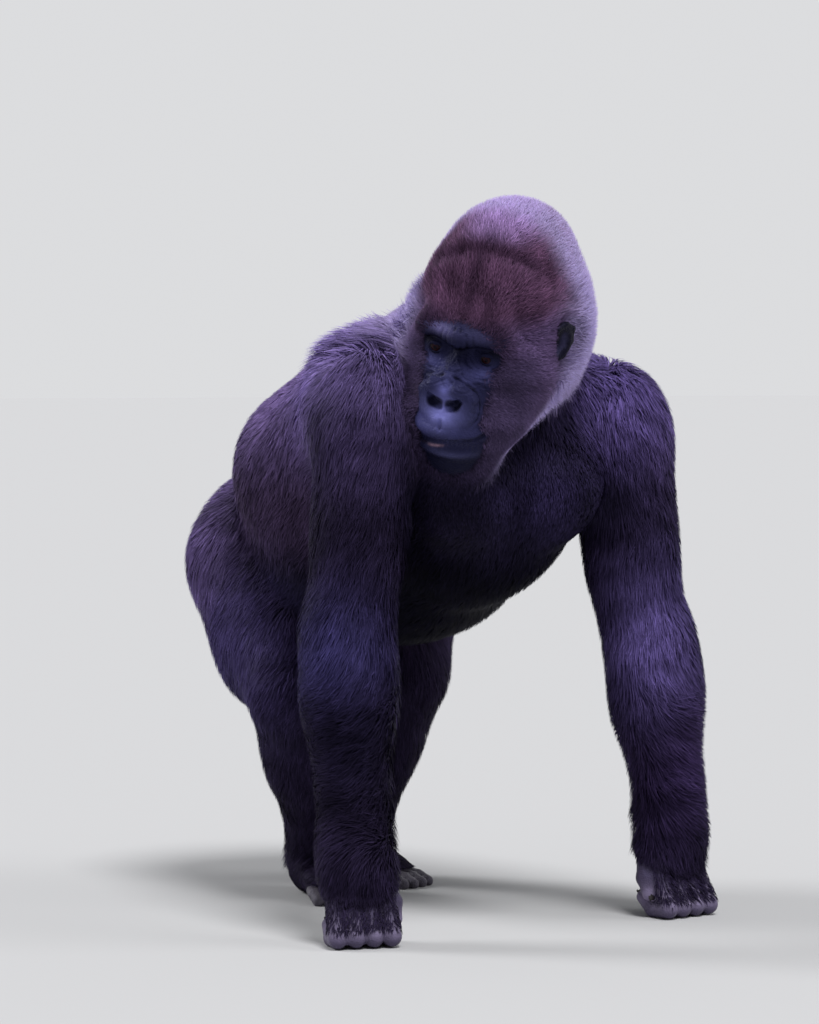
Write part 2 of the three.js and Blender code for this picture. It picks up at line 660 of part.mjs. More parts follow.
const gorilla = new THREE.Group();
gorilla.name = "gorilla";
for (const [name, solid] of Object.entries(solids)) {
  const { numProp, numVert, vertProperties, triVerts } = solid.getMesh();
  const position = new Float32Array(numVert * 3);
  for (let i = 0; i < numVert; i++) position.set(vertProperties.subarray(i * numProp, i * numProp + 3), i * 3);
  const geometry = new THREE.BufferGeometry()
    .setAttribute("position", new THREE.BufferAttribute(position, 3))
    .setIndex(new THREE.BufferAttribute(triVerts, 1));
  geometry.computeVertexNormals();
  const [, look] = COLOURS.find(([pattern]) => pattern.test(name));
  const mesh = new THREE.Mesh(geometry, new THREE.MeshStandardMaterial({ ...look, flatShading: true }));
  mesh.name = name;
  gorilla.add(mesh);
}

// The origin is on the floor, under the middle of the body's box.
const box = new THREE.Box3().setFromObject(gorilla);
gorilla.position.set(-(box.min.x + box.max.x) / 2, -(box.min.y + box.max.y) / 2, 0);
const root = new THREE.Group();
root.add(gorilla);

export default root;
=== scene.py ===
"""The looks of a life-size gorilla: one skin over the body, eyes with lids, nails, and a coat of hair tufts.

The anatomy is worked out in millimetres in the animal's own frame: Z up, facing -Y, its left side +X.
to_frame moves it into the frame of the solids, in metres.
"""
import math

import bmesh
import bpy
import numpy as np
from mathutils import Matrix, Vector, kdtree


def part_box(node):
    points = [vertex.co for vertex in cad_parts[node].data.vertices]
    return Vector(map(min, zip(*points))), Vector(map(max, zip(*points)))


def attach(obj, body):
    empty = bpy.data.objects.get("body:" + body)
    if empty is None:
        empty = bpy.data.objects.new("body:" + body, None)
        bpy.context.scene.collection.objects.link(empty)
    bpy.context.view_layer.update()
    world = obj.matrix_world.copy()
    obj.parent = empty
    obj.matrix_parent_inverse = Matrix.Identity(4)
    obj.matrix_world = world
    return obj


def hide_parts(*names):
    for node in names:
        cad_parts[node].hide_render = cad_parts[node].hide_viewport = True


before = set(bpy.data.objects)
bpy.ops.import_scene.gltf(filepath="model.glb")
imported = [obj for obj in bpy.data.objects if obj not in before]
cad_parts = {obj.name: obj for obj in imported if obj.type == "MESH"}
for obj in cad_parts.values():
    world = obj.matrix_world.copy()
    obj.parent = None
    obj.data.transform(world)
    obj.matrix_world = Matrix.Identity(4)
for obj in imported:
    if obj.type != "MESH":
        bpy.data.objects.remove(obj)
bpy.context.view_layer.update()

# ---- driving dimensions, in millimetres and degrees
HEAD = dict(at=(-35, -272, 868), turn=(-53, 16, 14), scale=1.045)
EYE = dict(out=37, forward=-91, up=-3, radius=13.2)
SIDES = (("left", 1), ("right", -1))
JOINTS = {
    "right": dict(shoulder=(-165, -165, 745), elbow=(-205, -150, 440), wrist=(-208, -190, 130),
                  hip=(-130, 318, 520), knee=(-150, 140, 330), ankle=(-46, 290, 85)),
    "left": dict(shoulder=(208, -170, 728), elbow=(279, -165, 410), wrist=(336, -138, 130),
                 hip=(88, 330, 520), knee=(78, 275, 338), ankle=(70, 415, 85)),
}
HANDS = {"right": dict(at=(-208, -188, -3), turn=(-10, 0, 0)),
         "left": dict(at=(331, -128, -3), turn=(12, 0, 0))}
FEET = {"right": dict(at=(-46, 290, -3), turn=(-10, 0, 0)),
        "left": dict(at=(70, 415, -3), turn=(14, 0, 0))}
CAMERA = dict(target=(-0.1176, -0.1726, 0.6096), azimuth=-25.696, elevation=2.247, distance=5.2, lens=128.4)
REACH = 70.0  # a shape further off than this leaves the field alone
TUFTS = 60000  # in each piece of the coat
STEPS = np.array([0, 0.5, 1.0])  # root, bend and tip of each tuft's blade
BLADE_POINTS = 5  # two at the root, two at the bend and one at the tip
TUFTS_IN_CLUMP = 24
RUFF_LIFT = 22  # how much deeper the coat is where the ruff stands off most
# The blade's five points in its own patch of the bake's map.
BAKE_PATCH = np.array([(-1, -1), (1, -1), (-1, 0), (1, 0), (0, 1)]) * 0.0015


# ---- small tools
def smooth(x, start, end):
    t = np.clip((x - start) / (end - start), 0, 1)
    return t * t * (3 - 2 * t)


def unit(v):
    return v / np.maximum(np.linalg.norm(v, axis=-1, keepdims=True), 1e-9)


def turned(yaw, pitch, roll):
    y, p, r = (math.radians(v) for v in (yaw, pitch, roll))
    about_z = np.array([[math.cos(y), -math.sin(y), 0], [math.sin(y), math.cos(y), 0], [0, 0, 1]])
    about_x = np.array([[1, 0, 0], [0, math.cos(p), -math.sin(p)], [0, math.sin(p), math.cos(p)]])
    about_y = np.array([[math.cos(r), 0, math.sin(r)], [0, 1, 0], [-math.sin(r), 0, math.cos(r)]])
    return about_z @ about_x @ about_y


def along(a, b, t, shift=(0, 0, 0)):
    return tuple(x + (y - x) * t + d for x, y, d in zip(a, b, shift))


def pairs(line):
    return zip(line, line[1:])


# ---- shapes: each gives its distance from points
class Region:
    """A box from lo to hi, with what is near it."""

    def near(self, p):
        return ((p > self.lo - REACH) & (p < self.hi + REACH)).all(1)


class Shape(Region):
    """at(p) gives the distance of points from it."""

    def __init__(self, at, lo, hi):
        self.at, self.lo, self.hi = at, np.array(lo, float), np.array(hi, float)


def ball(centre, radii, turn=(0, 0, 0)):
    c, r, m = np.array(centre, float), np.array(radii, float), turned(*turn)

    def at(p):
        a = ((p - c) @ m) / r
        k0 = np.sqrt((a * a).sum(1))
        b = a / r
        return k0 * (k0 - 1) / np.maximum(np.sqrt((b * b).sum(1)), 1e-9)

    return Shape(at, c - r.max(), c + r.max())


def limb(a, b, ra, rb, wide=1.0):
    """A tapered rod with round ends; wide stretches its section along X."""
    a, b = np.array(a, float), np.array(b, float)
    d = b - a
    ll = d @ d
    across = unit(np.array([1.0, 0, 0]) - d * (d[0] / ll))

    def at(p):
        q = p - a
        t = np.clip(q @ d / ll, 0, 1)
        v = q - t[:, None] * d
        v = v + ((v @ across) * (1 / wide - 1))[:, None] * across
        return np.sqrt((v * v).sum(1)) - (ra + t * (rb - ra))

    m = max(ra, rb) * wide
    return Shape(at, np.minimum(a, b) - m, np.maximum(a, b) + m)


def union(d, c, e, coat, blend):
    """Distances d and e joined with a fillet, and the depths of coat on them, c and coat."""
    h = np.clip(0.5 + 0.5 * (e - d) / blend, 0, 1)
    return e + (d - e) * h - blend * h * (1 - h), coat + (c - coat) * h


class Flesh(Region):
    """Shapes blended one after another in a frame of their own, each with the coat's depth on it."""

    def __init__(self, at=(0, 0, 0), turn=(0, 0, 0), scale=1.0):
        self.origin, self.matrix, self.scale, self.shapes = np.array(at, float), turned(*turn), scale, []

    def add(self, shape, blend, coat, kind="add"):
        self.shapes.append((kind, shape, blend, coat))
        return self

    def carve(self, shape, blend, coat):
        self.add(shape, blend, coat, "carve")

    def shave(self, shape, blend, coat):
        self.add(shape, blend, coat, "shave")

    def outward(self, q):
        return (np.asarray(q, float) * self.scale) @ self.matrix.T + self.origin

    def inward(self, p):
        return ((p - self.origin) @ self.matrix) / self.scale

    def close(self):
        solid = [shape for kind, shape, _, _ in self.shapes if kind == "add"]
        lo, hi = np.min([f.lo for f in solid], 0), np.max([f.hi for f in solid], 0)
        placed = self.outward([np.choose(corner, (lo, hi)) for corner in np.ndindex(2, 2, 2)])
        self.lo, self.hi = placed.min(0), placed.max(0)
        return self

    def at(self, p):
        """Distance from the flesh and depth of the coat."""
        p = self.inward(p)
        d, c = np.full(len(p), 1000.0), np.zeros(len(p))
        for kind, shape, blend, coat in self.shapes:
            near = shape.near(p)
            if not near.any():
                continue
            e, dn, cn = shape.at(p[near]), d[near], c[near]
            if kind == "shave":
                cn = cn + (coat - cn) * np.clip(0.5 - 0.5 * e / blend, 0, 1)
            elif kind == "carve":
                h = np.clip(0.5 - 0.5 * (dn + e) / blend, 0, 1)
                dn = dn + (-e - dn) * h + blend * h * (1 - h)
                cn = cn + (coat - cn) * h
            else:
                dn, cn = union(dn, cn, e, coat, blend)
            d[near], c[near] = dn, cn
        return d * self.scale, c * self.scale


def body_field(parts, p):
    """Distance from the skin and depth of the coat, for [(flesh, blend), ...]."""
    d, c = np.full(len(p), 1000.0), np.zeros(len(p))
    for flesh, blend in parts:
        near = flesh.near(p)
        if near.any():
            d[near], c[near] = union(d[near], c[near], *flesh.at(p[near]), blend)
    return d, c


# ---- the flesh
# Lines in the head's own frame, from its right to its left: between the crown and the pads of the brow, and
# between the lips.
CREASE = [(-76, -46, 78), (-54, -60, 100), (-30, -62, 115), (0, -58, 125), (30, -55, 122), (54, -44, 112),
          (78, -22, 90)]
MOUTH = [(-55, -104, -129), (-45, -114, -129), (-30, -127, -125), (-8, -141, -120), (12, -144, -116),
         (30, -137, -112), (44, -122, -110), (53, -110, -103)]


def head_flesh():
    """Origin midway between the ears, -Y forward, its left side +X."""
    b = Flesh(**HEAD)
    b.add(ball((0, 22, 46), (86, 102, 92)), 10, 16)  # braincase
    b.add(ball((0, 34, 100), (62, 84, 58)), 40, 20)  # crest pad
    b.add(ball((0, -60, -30), (60, 42, 58)), 22, 2)  # middle of the face
    for _, s in SIDES:
        b.add(ball((s * 32, -36, 70), (44, 44, 44)), 25, 12)  # brow pad of the crown
        b.add(ball((s * 42, 62, 2), (54, 60, 74)), 40, 24)  # nape muscle
        b.add(ball((s * 48, -18, 0), (34, 38, 54)), 30, 18)  # temple
        b.add(limb((s * 6, -107, 22), (s * 54, -93, 22), 15, 13), 12, 2.5)  # brow ridge
        b.add(limb((s * 54, -93, 22), (s * 70, -68, 3), 12.5, 11), 12, 5)
        b.add(limb((s * 57, -76, -12), (s * 66, -30, -20), 14, 20), 22, 8)  # cheekbone
        b.add(ball((s * 51, -24, -46), (36, 54, 58), (0, -10, 0)), 32, 16)  # chewing muscle
        b.add(limb((s * 46, -12, -80), (s * 24, -84, -146), 23, 22), 26, 12)  # jaw
        b.add(ball((s * 34, -76, -38), (32, 30, 30)), 18, 2)  # cheek under the eye
        b.add(ball((s * 48, -62, -92), (30, 44, 38)), 22, 8)  # cheek beside the mouth
    b.add(limb((-38, -76, 41), (38, -76, 41), 21, 21), 22, 6)  # forehead
    b.add(ball((0, -84, -90), (50, 57, 58)), 24, 2.5)  # muzzle
    b.add(ball((0, -110, -105), (49, 37, 18)), 12, 1.5)  # upper lip
    b.add(ball((-2, -100, -134), (43, 37, 16)), 12, 2)  # lower lip
    b.add(ball((0, -88, -158), (38, 34, 20)), 16, 6)  # chin
    b.add(limb((0, -91, -4), (0, -121, -36), 11, 17), 14, 1.5)  # bridge of the nose
    for _, s in SIDES:
        b.add(ball((s * 18, -121, -66), (23, 21, 33), (0, 0, s * 6)), 10, 1)  # nose lobes
        b.add(limb((s * 6, -136, -50), (s * 18, -137, -43), 6, 10), 6, 1)  # nostril rims
        b.add(limb((s * 18, -137, -43), (s * 32, -129, -54), 10, 9), 5, 1)
        b.add(limb((s * 32, -129, -54), (s * 30, -130, -78), 9, 7), 5, 1)
        b.add(limb((s * 30, -130, -78), (s * 8, -139, -88), 7, 8), 6, 1)
        b.carve(ball((s * 38, -113, -2), (22, 20, 13), (0, 0, s * 10)), 10, 1.5)  # eye socket
        b.carve(ball((s * 11, -149, -67), (12, 20, 7), (0, 0, -s * 25)), 3, 1)  # nostril
        b.carve(ball((s * 19, -148, -60), (10, 19, 6.5), (0, 0, -s * 50)), 3, 1)
        b.add(ball((s * 37, -89, -3), (18, 15.3, 13.5)), 9, 1)  # lids
        b.carve(ball((s * 37, -106, -3), (8.5, 9, 5)), 2, 1)  # opening of the lids
    for start, end in pairs(MOUTH):
        b.carve(limb(start, end, 2.8, 2.8), 4, 1)
    for start, end in pairs(CREASE):
        b.carve(limb(start, end, 3, 3), 24, 13)
    b.shave(ball((0, -122, -132), (56, 46, 46)), 12, 2.2)  # round the mouth
    for _, s in SIDES:
        b.shave(ball((s * 97, -4, 6), (34, 25, 36)), 14, 3)  # round the ear
    return b.close()


def ear_flesh(s):
    b = Flesh(**HEAD)
    b.add(ball((s * 98, 2, 7), (8, 18, 27), (-s * 32, 0, s * 6)), 5, 2)
    b.carve(ball((s * 106, -4, 5), (11, 13, 21), (-s * 32, 0, s * 6)), 3, 1)  # shell
    b.carve(ball((s * 99, -9, 0), (9, 10, 10)), 3, 1)  # canal
    rim = [(94, -16, 12), (98, -11, 28), (103, 3, 33), (108, 16, 24), (107, 17, 6), (101, 9, -14),
           (94, -3, -21)]
    for start, end in pairs(rim):
        b.add(limb([s * start[0], *start[1:]], [s * end[0], *end[1:]], 3.4, 3.4), 3, 2)
    b.add(limb((s * 101, 6, 20), (s * 100, 6, 2), 2.8, 2.4), 3, 1)  # inner fold
    b.add(limb((s * 100, 6, 2), (s * 95, -4, -11), 2.4, 2.8), 3, 1)
    return b.add(ball((s * 95, -20, 1), (6, 5, 8)), 4, 1).close()  # flap before the canal


def trunk_flesh():
    b = Flesh()
    b.add(ball((18, -45, 664), (170, 215, 196), (7, -22, 0)), 10, 16)  # ribs
    b.add(ball((-8, 150, 602), (190, 190, 180), (7, -15, 0)), 60, 16)  # belly
    b.add(ball((15, 130, 515), (160, 160, 100)), 50, 20)  # underbelly
    b.add(ball((-35, 325, 560), (150, 115, 125)), 45, 20)  # pelvis
    for _, s in SIDES:
        b.add(ball((-35 + s * 92, 335, 510), (84, 105, 112)), 40, 24)  # buttock
        b.add(ball((15 + s * 66, -215, 645), (78, 72, 78)), 40, 5)  # breast muscle
    for _, s in SIDES:
        b.add(limb((10 + s * 108, -30, 745), (-15 + s * 95, 170, 668), 112, 112), 60, 16)  # back muscle
    b.add(limb((18, -80, 790), (-28, 270, 650), 92, 90), 60, 16)  # spine
    b.add(limb((15, -10, 780), (0, -140, 808), 102, 102), 60, 18)  # withers
    b.add(limb((-140, -120, 750), (165, -140, 735), 98, 92), 50, 18)  # shoulder girdle
    return b.add(limb((0, -130, 800), (12, -226, 866), 112, 84), 60, 20).close()  # neck


def arm_flesh(s, shoulder, elbow, wrist, **_):
    b = Flesh()
    b.add(ball(along(shoulder, shoulder, 0, (s * 8, 0, -20)), (72, 82, 105)), 10, 18)  # shoulder cap
    b.add(limb(shoulder, elbow, 56, 47), 30, 18)
    b.add(limb(elbow, wrist, 52, 38), 30, 20)
    b.add(ball(along(elbow, wrist, 0.28), (52, 54, 80)), 30, 20)  # forearm muscle
    b.add(ball(along(shoulder, elbow, 0.5, (s * 4, -14, 0)), (40, 54, 100)), 30, 18)  # biceps
    b.add(ball(along(shoulder, elbow, 0.5, (s * 3, 22, -10)), (41, 52, 110)), 30, 18)  # triceps
    return b.close()


# Knuckles drop from the middle finger to both sides.
FINGERS = [(38 - 25 * i, drop) for i, drop in enumerate((6, 0, 1, 6))]
TOES = [(34 - 17 * i, far) for i, far in enumerate((-6, 2, 6, 6))]


def hand_flesh(s, place):
    """Fingers forward and flexed on the backs of their middle bones, thumb on the inner side."""
    b = Flesh(**place)
    b.add(limb((0, 4, 140), (0, -4, 104), 33, 32, 1.2), 10, 13)
    b.add(ball((s * 2, -6, 92), (48, 27, 42)), 18, 8)
    for out, drop in FINGERS:
        x = s * out
        b.add(limb((x * 0.92, -14, 84 - drop), (x * 1.05, -48, 21), 14.5, 13), 4, 4)
        b.add(limb((x * 1.05, -48, 18), (x * 1.02, -12, 14), 13.5, 12), 3, 1)
        b.add(limb((x * 1.02, -12, 14), (x * 0.98, 12, 30), 12, 10.5), 3, 1)
    b.add(limb((-s * 34, 6, 96), (-s * 52, -8, 62), 16, 12), 12, 1.5)
    return b.add(limb((-s * 52, -8, 62), (-s * 53, -18, 38), 11.5, 9), 6, 1).close()


def thigh_flesh(s, hip, knee, **_):
    b = Flesh().add(limb(hip, knee, 96, 60), 10, 24)
    return b.add(ball(along(hip, knee, 0.5, (s * 10, 35, -15)), (64, 72, 100)), 40, 24).close()


def shank_flesh(knee, ankle, **_):
    b = Flesh().add(limb(knee, ankle, 58, 36), 10, 20)
    return b.add(ball(along(knee, ankle, 0.35, (0, 12, 0)), (48, 52, 80)), 30, 18).close()


def foot_flesh(s, place):
    """On the floor under the ankle, toes forward, big toe on the inner side."""
    b = Flesh(**place)
    b.add(limb((0, 0, 92), (0, 4, 52), 35, 33), 10, 16)
    b.add(ball((0, 28, 30), (32, 42, 34)), 20, 4)  # heel
    b.add(limb((0, -4, 44), (s * 5, -84, 22), 32, 23, 1.4), 25, 5)
    for out, far in TOES:
        x = s * out
        b.add(limb((x, -84 - far * 0.4, 19), (x * 1.12, -116 - far, 16), 11, 9.5), 4, 1)
        b.add(limb((x * 1.12, -116 - far, 16), (x * 1.14, -138 - far, 10), 9.5, 9), 3, 1)
    b.add(limb((-s * 16, -22, 26), (-s * 46, -66, 18), 21, 16), 12, 2)
    return b.add(limb((-s * 46, -66, 17), (-s * 56, -102, 13), 15, 12), 7, 1).close()


head, trunk = head_flesh(), trunk_flesh()
whole = [(trunk, 10)]
groups = {"head": [(head, 1)], "trunk": [(trunk, 1)]}
for side, s in SIDES[::-1]:
    joints = JOINTS[side]
    leg = [(thigh_flesh(s, **joints), 45), (shank_flesh(**joints), 20), (foot_flesh(s, FEET[side]), 16)]
    arm = [(arm_flesh(s, **joints), 24), (hand_flesh(s, HANDS[side]), 22)]
    whole += leg + arm
    groups["leg_" + side], groups["arm_" + side] = leg, arm
whole += [(head, 30), (ear_flesh(1), 4), (ear_flesh(-1), 4)]


def skin_distance(p):
    return np.maximum(body_field(whole, p)[0], -p[:, 2])


eye_home = head.outward([EYE["out"], EYE["forward"], EYE["up"]])
eye_lo, eye_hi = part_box("eye_left")
shift = np.array((eye_lo + eye_hi) / 2) * 1000 - eye_home
shift[2] = 0


def to_frame(p):
    return (np.asarray(p, float) + shift) * 0.001


# ---- surface of a field
def grid_lines(lo, hi, step, fine=()):
    """Lines step apart, closer in each fine band (lo, hi, step)."""
    lines = [lo]
    while lines[-1] < hi:
        x = lines[-1]
        lines.append(x + min([step] + [f + 0.12 * max(a - x, x - b, 0) for a, b, f in fine]))
    return np.array(lines)


def grid_points(lines, index):
    return np.stack([line[i] for line, i in zip(lines, index.T)], 1)


def nets(field, lines, block=6):
    """Vertices and square faces of the surface where the field is nought."""
    shape = [len(a) for a in lines]
    ends = [np.unique(np.append(np.arange(0, n, block), n - 1)) for n in shape]
    coarse = np.stack(np.meshgrid(*[a[e] for a, e in zip(lines, ends)], indexing="ij"), -1)
    rough = field(coarse.reshape(-1, 3)).reshape(coarse.shape[:3])
    value, wanted = np.ones(shape, np.float32), np.zeros(shape, bool)
    for i, j, k in np.ndindex(*[len(e) - 1 for e in ends]):
        corner = rough[i:i + 2, j:j + 2, k:k + 2]
        size = np.linalg.norm(coarse[i + 1, j + 1, k + 1] - coarse[i, j, k])
        here = tuple(slice(e[m], e[m + 1] + 1) for e, m in zip(ends, (i, j, k)))
        if np.abs(corner).min() < size * 1.1:
            wanted[here] = True
        elif corner.mean() < 0:
            value[here] = -1
    at = np.argwhere(wanted)
    value[wanted] = field(grid_points(lines, at))

    inside = value < 0
    cut = [n - 1 for n in shape]
    corners = list(np.ndindex(2, 2, 2))
    count = sum(inside[i:i + cut[0], j:j + cut[1], k:k + cut[2]].astype(np.int8) for i, j, k in corners)
    cells = np.argwhere((count > 0) & (count < 8))
    number = np.full(cut, -1, np.int32)
    number[tuple(cells.T)] = np.arange(len(cells))
    total, hits = np.zeros((len(cells), 3)), np.zeros(len(cells))
    for a in corners:
        for axis in range(3):
            if a[axis]:
                continue
            b = np.array(a) + np.eye(3, dtype=int)[axis]
            ia, ib = cells + a, cells + b
            va, vb = value[tuple(ia.T)], value[tuple(ib.T)]
            cross = (va < 0) != (vb < 0)
            t = np.where(cross, va / np.where(cross, va - vb, 1), 0)[:, None]
            pa, pb = grid_points(lines, ia), grid_points(lines, ib)
            total += np.where(cross[:, None], pa + t * (pb - pa), 0)
            hits += cross
    faces = []
    for axis in range(3):
        u, v = (axis + 1) % 3, (axis + 2) % 3
        first, last = [slice(1, -1)] * 3, [slice(1, -1)] * 3
        first[axis], last[axis] = slice(0, -1), slice(1, None)
        a, b = inside[tuple(first)], inside[tuple(last)]
        edge = np.argwhere(a != b)
        outward = a[tuple(edge.T)]
        across, up, run = np.eye(3, dtype=int)[[u, v, axis]]
        edge = edge + 1 - run
        ring = np.stack([number[tuple((edge - du * across - dv * up).T)]
                         for du, dv in ((1, 1), (0, 1), (0, 0), (1, 0))], 1)
        ring[~outward] = ring[~outward][:, ::-1]
        faces.append(ring)
    return total / hits[:, None], np.concatenate(faces)


def slope(field, p, h=0.5):
    return np.stack([field(p + e) - field(p - e) for e in np.eye(3) * h], 1) / (2 * h)


def settle(field, p, rounds, most):
    """Moves points on to the surface, at most so far in each round."""
    for _ in range(rounds):
        g = slope(field, p)
        step = -(field(p) / np.maximum((g * g).sum(1), 0.05))[:, None] * g
        length = np.linalg.norm(step, axis=1)
        p = p + step * np.minimum(1, most / np.maximum(length, 1e-9))[:, None]
    return p


# ---- folds of the face, in the head's own frame
# Each fold is a depth, a width and a line. FOLDS lie on the left and are mirrored to the right.
FOLDS = [
    (2.0, 2.2, [(14, -116, -13), (26, -112, -20), (42, -106, -21), (58, -90, -13)]),
    (1.6, 2.4, [(14, -118, -20), (24, -114, -28), (40, -106, -31), (60, -88, -22)]),
    (1.2, 2.6, [(16, -120, -28), (28, -114, -37), (42, -103, -41), (60, -84, -32)]),
    (1.6, 2.0, [(16, -108, 4), (30, -106, 9), (46, -100, 9), (60, -86, 2)]),
    (2.4, 3.0, [(40, -120, -34), (46, -112, -56), (48, -108, -78), (54, -100, -98), (56, -92, -116)]),
    (2.6, 2.6, [(8, -131, -28), (24, -129, -33), (38, -120, -46), (42, -115, -64), (40, -118, -82),
                (30, -130, -97), (14, -140, -103), (0, -142, -104)]),
    (2.0, 2.4, [(4, -118, 34), (6, -120, 18), (5, -112, 4)]),
    (1.2, 2.0, [(13, -118, 28), (15, -118, 16), (13, -110, 6)]),
    (0.8, 2.0, [(22, -116, 28), (24, -116, 16)]),
    (0.5, 4.0, [(0, -142, -152), (26, -134, -150), (44, -114, -142)]),
    (2.0, 3.0, [(0, -100, 46), (24, -95, 44), (46, -84, 40)]),
    (2.4, 9.0, [(0, -90, 58), (0, -84, 84), (0, -76, 108)]),
]
NOSE_FOLDS = [(1.4, 1.7, [(-14, -120, z + 3), (-5, -128, z), (5, -128, z), (14, -120, z + 3)])
              for z in (-10, -16, -22, -28)]
NOSE_FOLDS.append((2.6, 2.2, [(0, -142, -42), (0, -148, -62), (0, -148, -82), (0, -144, -102)]))


def chain_distance(q, points):
    best = np.full(len(q), 1e9)
    for a, b in pairs(np.array(points, float)):
        ab = b - a
        t = np.clip((q - a) @ ab / (ab @ ab), 0, 1)
        best = np.minimum(best, np.linalg.norm(q - a - t[:, None] * ab, axis=1))
    return best


def bell(d, width):
    return np.exp(-(d / width) ** 2)


def groove(d, width, bank):
    """A hollow one deep, with a bank of that height beside it."""
    return bell(d, width) - bank * bell(d - 1.9 * width, width)


def fold_depth(q):
    """How far the folds press the skin in."""
    mirrored = q * [-1, 1, 1]
    pressed = np.zeros(len(q))
    for depth, width, line in FOLDS:
        d = np.minimum(chain_distance(q, line), chain_distance(mirrored, line))
        pressed += depth * groove(d, width, 0.35)
    for depth, width, line in NOSE_FOLDS:
        pressed += depth * groove(chain_distance(q, line), width, 0.3)
    return pressed


def waves(x, wavelength, bend=0):
    return np.sin(x * 2 * math.pi / wavelength + bend)


def fine_lines(q):
    """Thin wrinkles: rings under the eyes, upright lines on the lips and crossed lines on the cheeks."""
    x, y, z = np.abs(q[:, 0]), q[:, 1], q[:, 2]
    ring = np.hypot((x - EYE["out"]) * 0.8, z + 1)
    under = smooth(ring, 15, 20) * (1 - smooth(ring, 38, 50)) * (1 - smooth(z, -6, 2)) * (y < -70)
    bend = 0.5 * np.sin(z * 0.23 + x * 0.11) + 0.6 * np.sin(x * 0.19)
    lips = bell(z + 121, 9) * (1 - smooth(x, 40, 55)) * (y < -100)
    cheek = np.exp(-(((x - 46) / 14) ** 2 + ((z + 62) / 26) ** 2)) * (y < -80)
    lines = 0.45 * under * waves(ring, 5.0, 1.3 * bend) + 0.35 * lips * waves(x, 5.5, bend)
    lines += 0.4 * cheek * waves(x * 0.9 + z * 0.5, 6.0, 2 * bend)
    return lines * 1.3


# ---- colours: linear red, green and blue
TONES = dict(
    # The back, rump and shoulder tones lighten the top of the body: painted highlight, and on the back also
    # the fur's own grey-brown.
    dark=(0.017, 0.012, 0.032), back=(0.19, 0.152, 0.28), flank=(0.048, 0.03, 0.07),
    rump=(0.1, 0.068, 0.18), shoulder=(0.1, 0.07, 0.19), chest=(0.0095, 0.0072, 0.02),
    # The chest and belly tones are dark fur, darkened further as painted shade between the arms and under
    # the body.
    belly=(0.003, 0.0026, 0.0075), crown=(0.3, 0.19, 0.42), pad=(0.12, 0.057, 0.118),
    # The crease tone is painted shade in the folds and valleys of the crown.
    crease_shade=(0.024, 0.012, 0.028), cheek=(0.11, 0.07, 0.165), jaw=(0.06, 0.043, 0.1),
    # The frost tone is pale hair tips, with painted rim light.
    frost_and_rim_light=(0.66, 0.56, 1.0),
    # bare skin
    face=(0.013, 0.013, 0.042), limb=(0.055, 0.045, 0.085), knuckle=(0.24, 0.2, 0.32),
    # The last tone here is painted highlight on the ear's inner fold.
    lip=(0.5, 0.3, 0.38), heel=(0.12, 0.11, 0.13), ear=(0.006, 0.0055, 0.011), ridge=(0.06, 0.055, 0.13),
)
COAT_PAINTED_LIGHT = [  # centre, radii, colour and strength of soft patches of painted highlight and painted shade on the coat
    ((-176, -60, 836), (90, 120, 90), (0.24, 0.175, 0.46), 0.9),
    ((-160, 120, 790), (90, 110, 90), (0.19, 0.125, 0.32), 0.8),
    ((180, -222, 785), (80, 80, 80), (0.125, 0.088, 0.28), 0.9),
    ((-238, -198, 433), (70, 70, 85), (0.042, 0.036, 0.125), 0.9),
    ((-215, 210, 410), (80, 150, 120), (0.054, 0.041, 0.13), 0.9),
    ((250, -212, 440), (60, 60, 110), (0.135, 0.1, 0.3), 0.95),
    ((300, -191, 238), (60, 60, 100), (0.045, 0.028, 0.09), 0.9),
    ((45, -275, 640), (85, 70, 80), (0.023, 0.017, 0.054), 0.9),
    ((-215, -216, 285), (60, 70, 90), (0.006, 0.005, 0.015), 0.7),
]
FACE_PAINTED_LIGHT = [  # the same for bare skin: painted highlights and painted shade, in the head's own frame
    ((0, -140, -76), (26, 40, 22), (0.21, 0.212, 0.57), 0.95),
    ((0, -134, -44), (9, 30, 14), (0.14, 0.14, 0.4), 0.8),
    ((-30, -125, -98), (20, 30, 14), (0.075, 0.075, 0.24), 0.8),
    ((22, -130, -103), (20, 30, 8), (0.035, 0.035, 0.11), 0.7),
    ((-32, -115, 29), (24, 34, 7), (0.115, 0.1, 0.25), 0.9),
    ((34, -112, 28), (24, 34, 7), (0.04, 0.037, 0.095), 0.8),
    ((-36, -104, -24), (20, 34, 9), (0.1, 0.1, 0.29), 0.9),
    ((36, -104, -24), (20, 34, 9), (0.1, 0.1, 0.29), 0.9),
    ((12, -128, -136), (26, 34, 6), (0.055, 0.055, 0.14), 0.8),
]
# Lines in the head's own frame: of the painted shade under the brow, of the lower lip, and of the painted
# highlight on the ear's inner fold.
BROW_SHADE = [(-60, -96, 6), (-30, -110, 8), (0, -112, 4), (30, -110, 8), (60, -96, 6)]
LIP = [(-40, -116, -134), (-14, -134, -128), (10, -139, -123)]
EAR_FOLD = [(101, 6, 20), (100, 6, 2), (95, -4, -11)]
# Where the nostrils are painted in shade, in the head's own frame.
NOSTRIL_SHADE = dict(out=13, forward=-140, up=-64, radii=(13, 20, 9))
EAR_OUT = 84  # skin of the head further out than this is an ear's
COAT_TONE = 0.55  # how dark the skin under the coat is beside the coat: dark skin, with painted shade deep in the coat


def mixed(colour, other, share):
    return colour + (np.array(other) - colour) * share[:, None]


def painted(base, *layers):
    """A tone with each (tone, share) laid over it in turn."""
    colour = np.array(TONES[base])
    for tone, share in layers:
        colour = mixed(colour, TONES[tone], share)
    return colour


def with_painted_light(colour, p, light_patches, share=1.0):
    """The colour with soft-edged patches of painted highlight and painted shade laid over it."""
    for centre, radii, patch_colour, strength in light_patches:
        away = np.linalg.norm((p - centre) / radii, axis=1)
        colour = mixed(colour, patch_colour, strength * share * np.exp(-away ** 2))
    return colour


def group_distances(p):
    return {name: body_field(parts, p)[0] for name, parts in groups.items()}


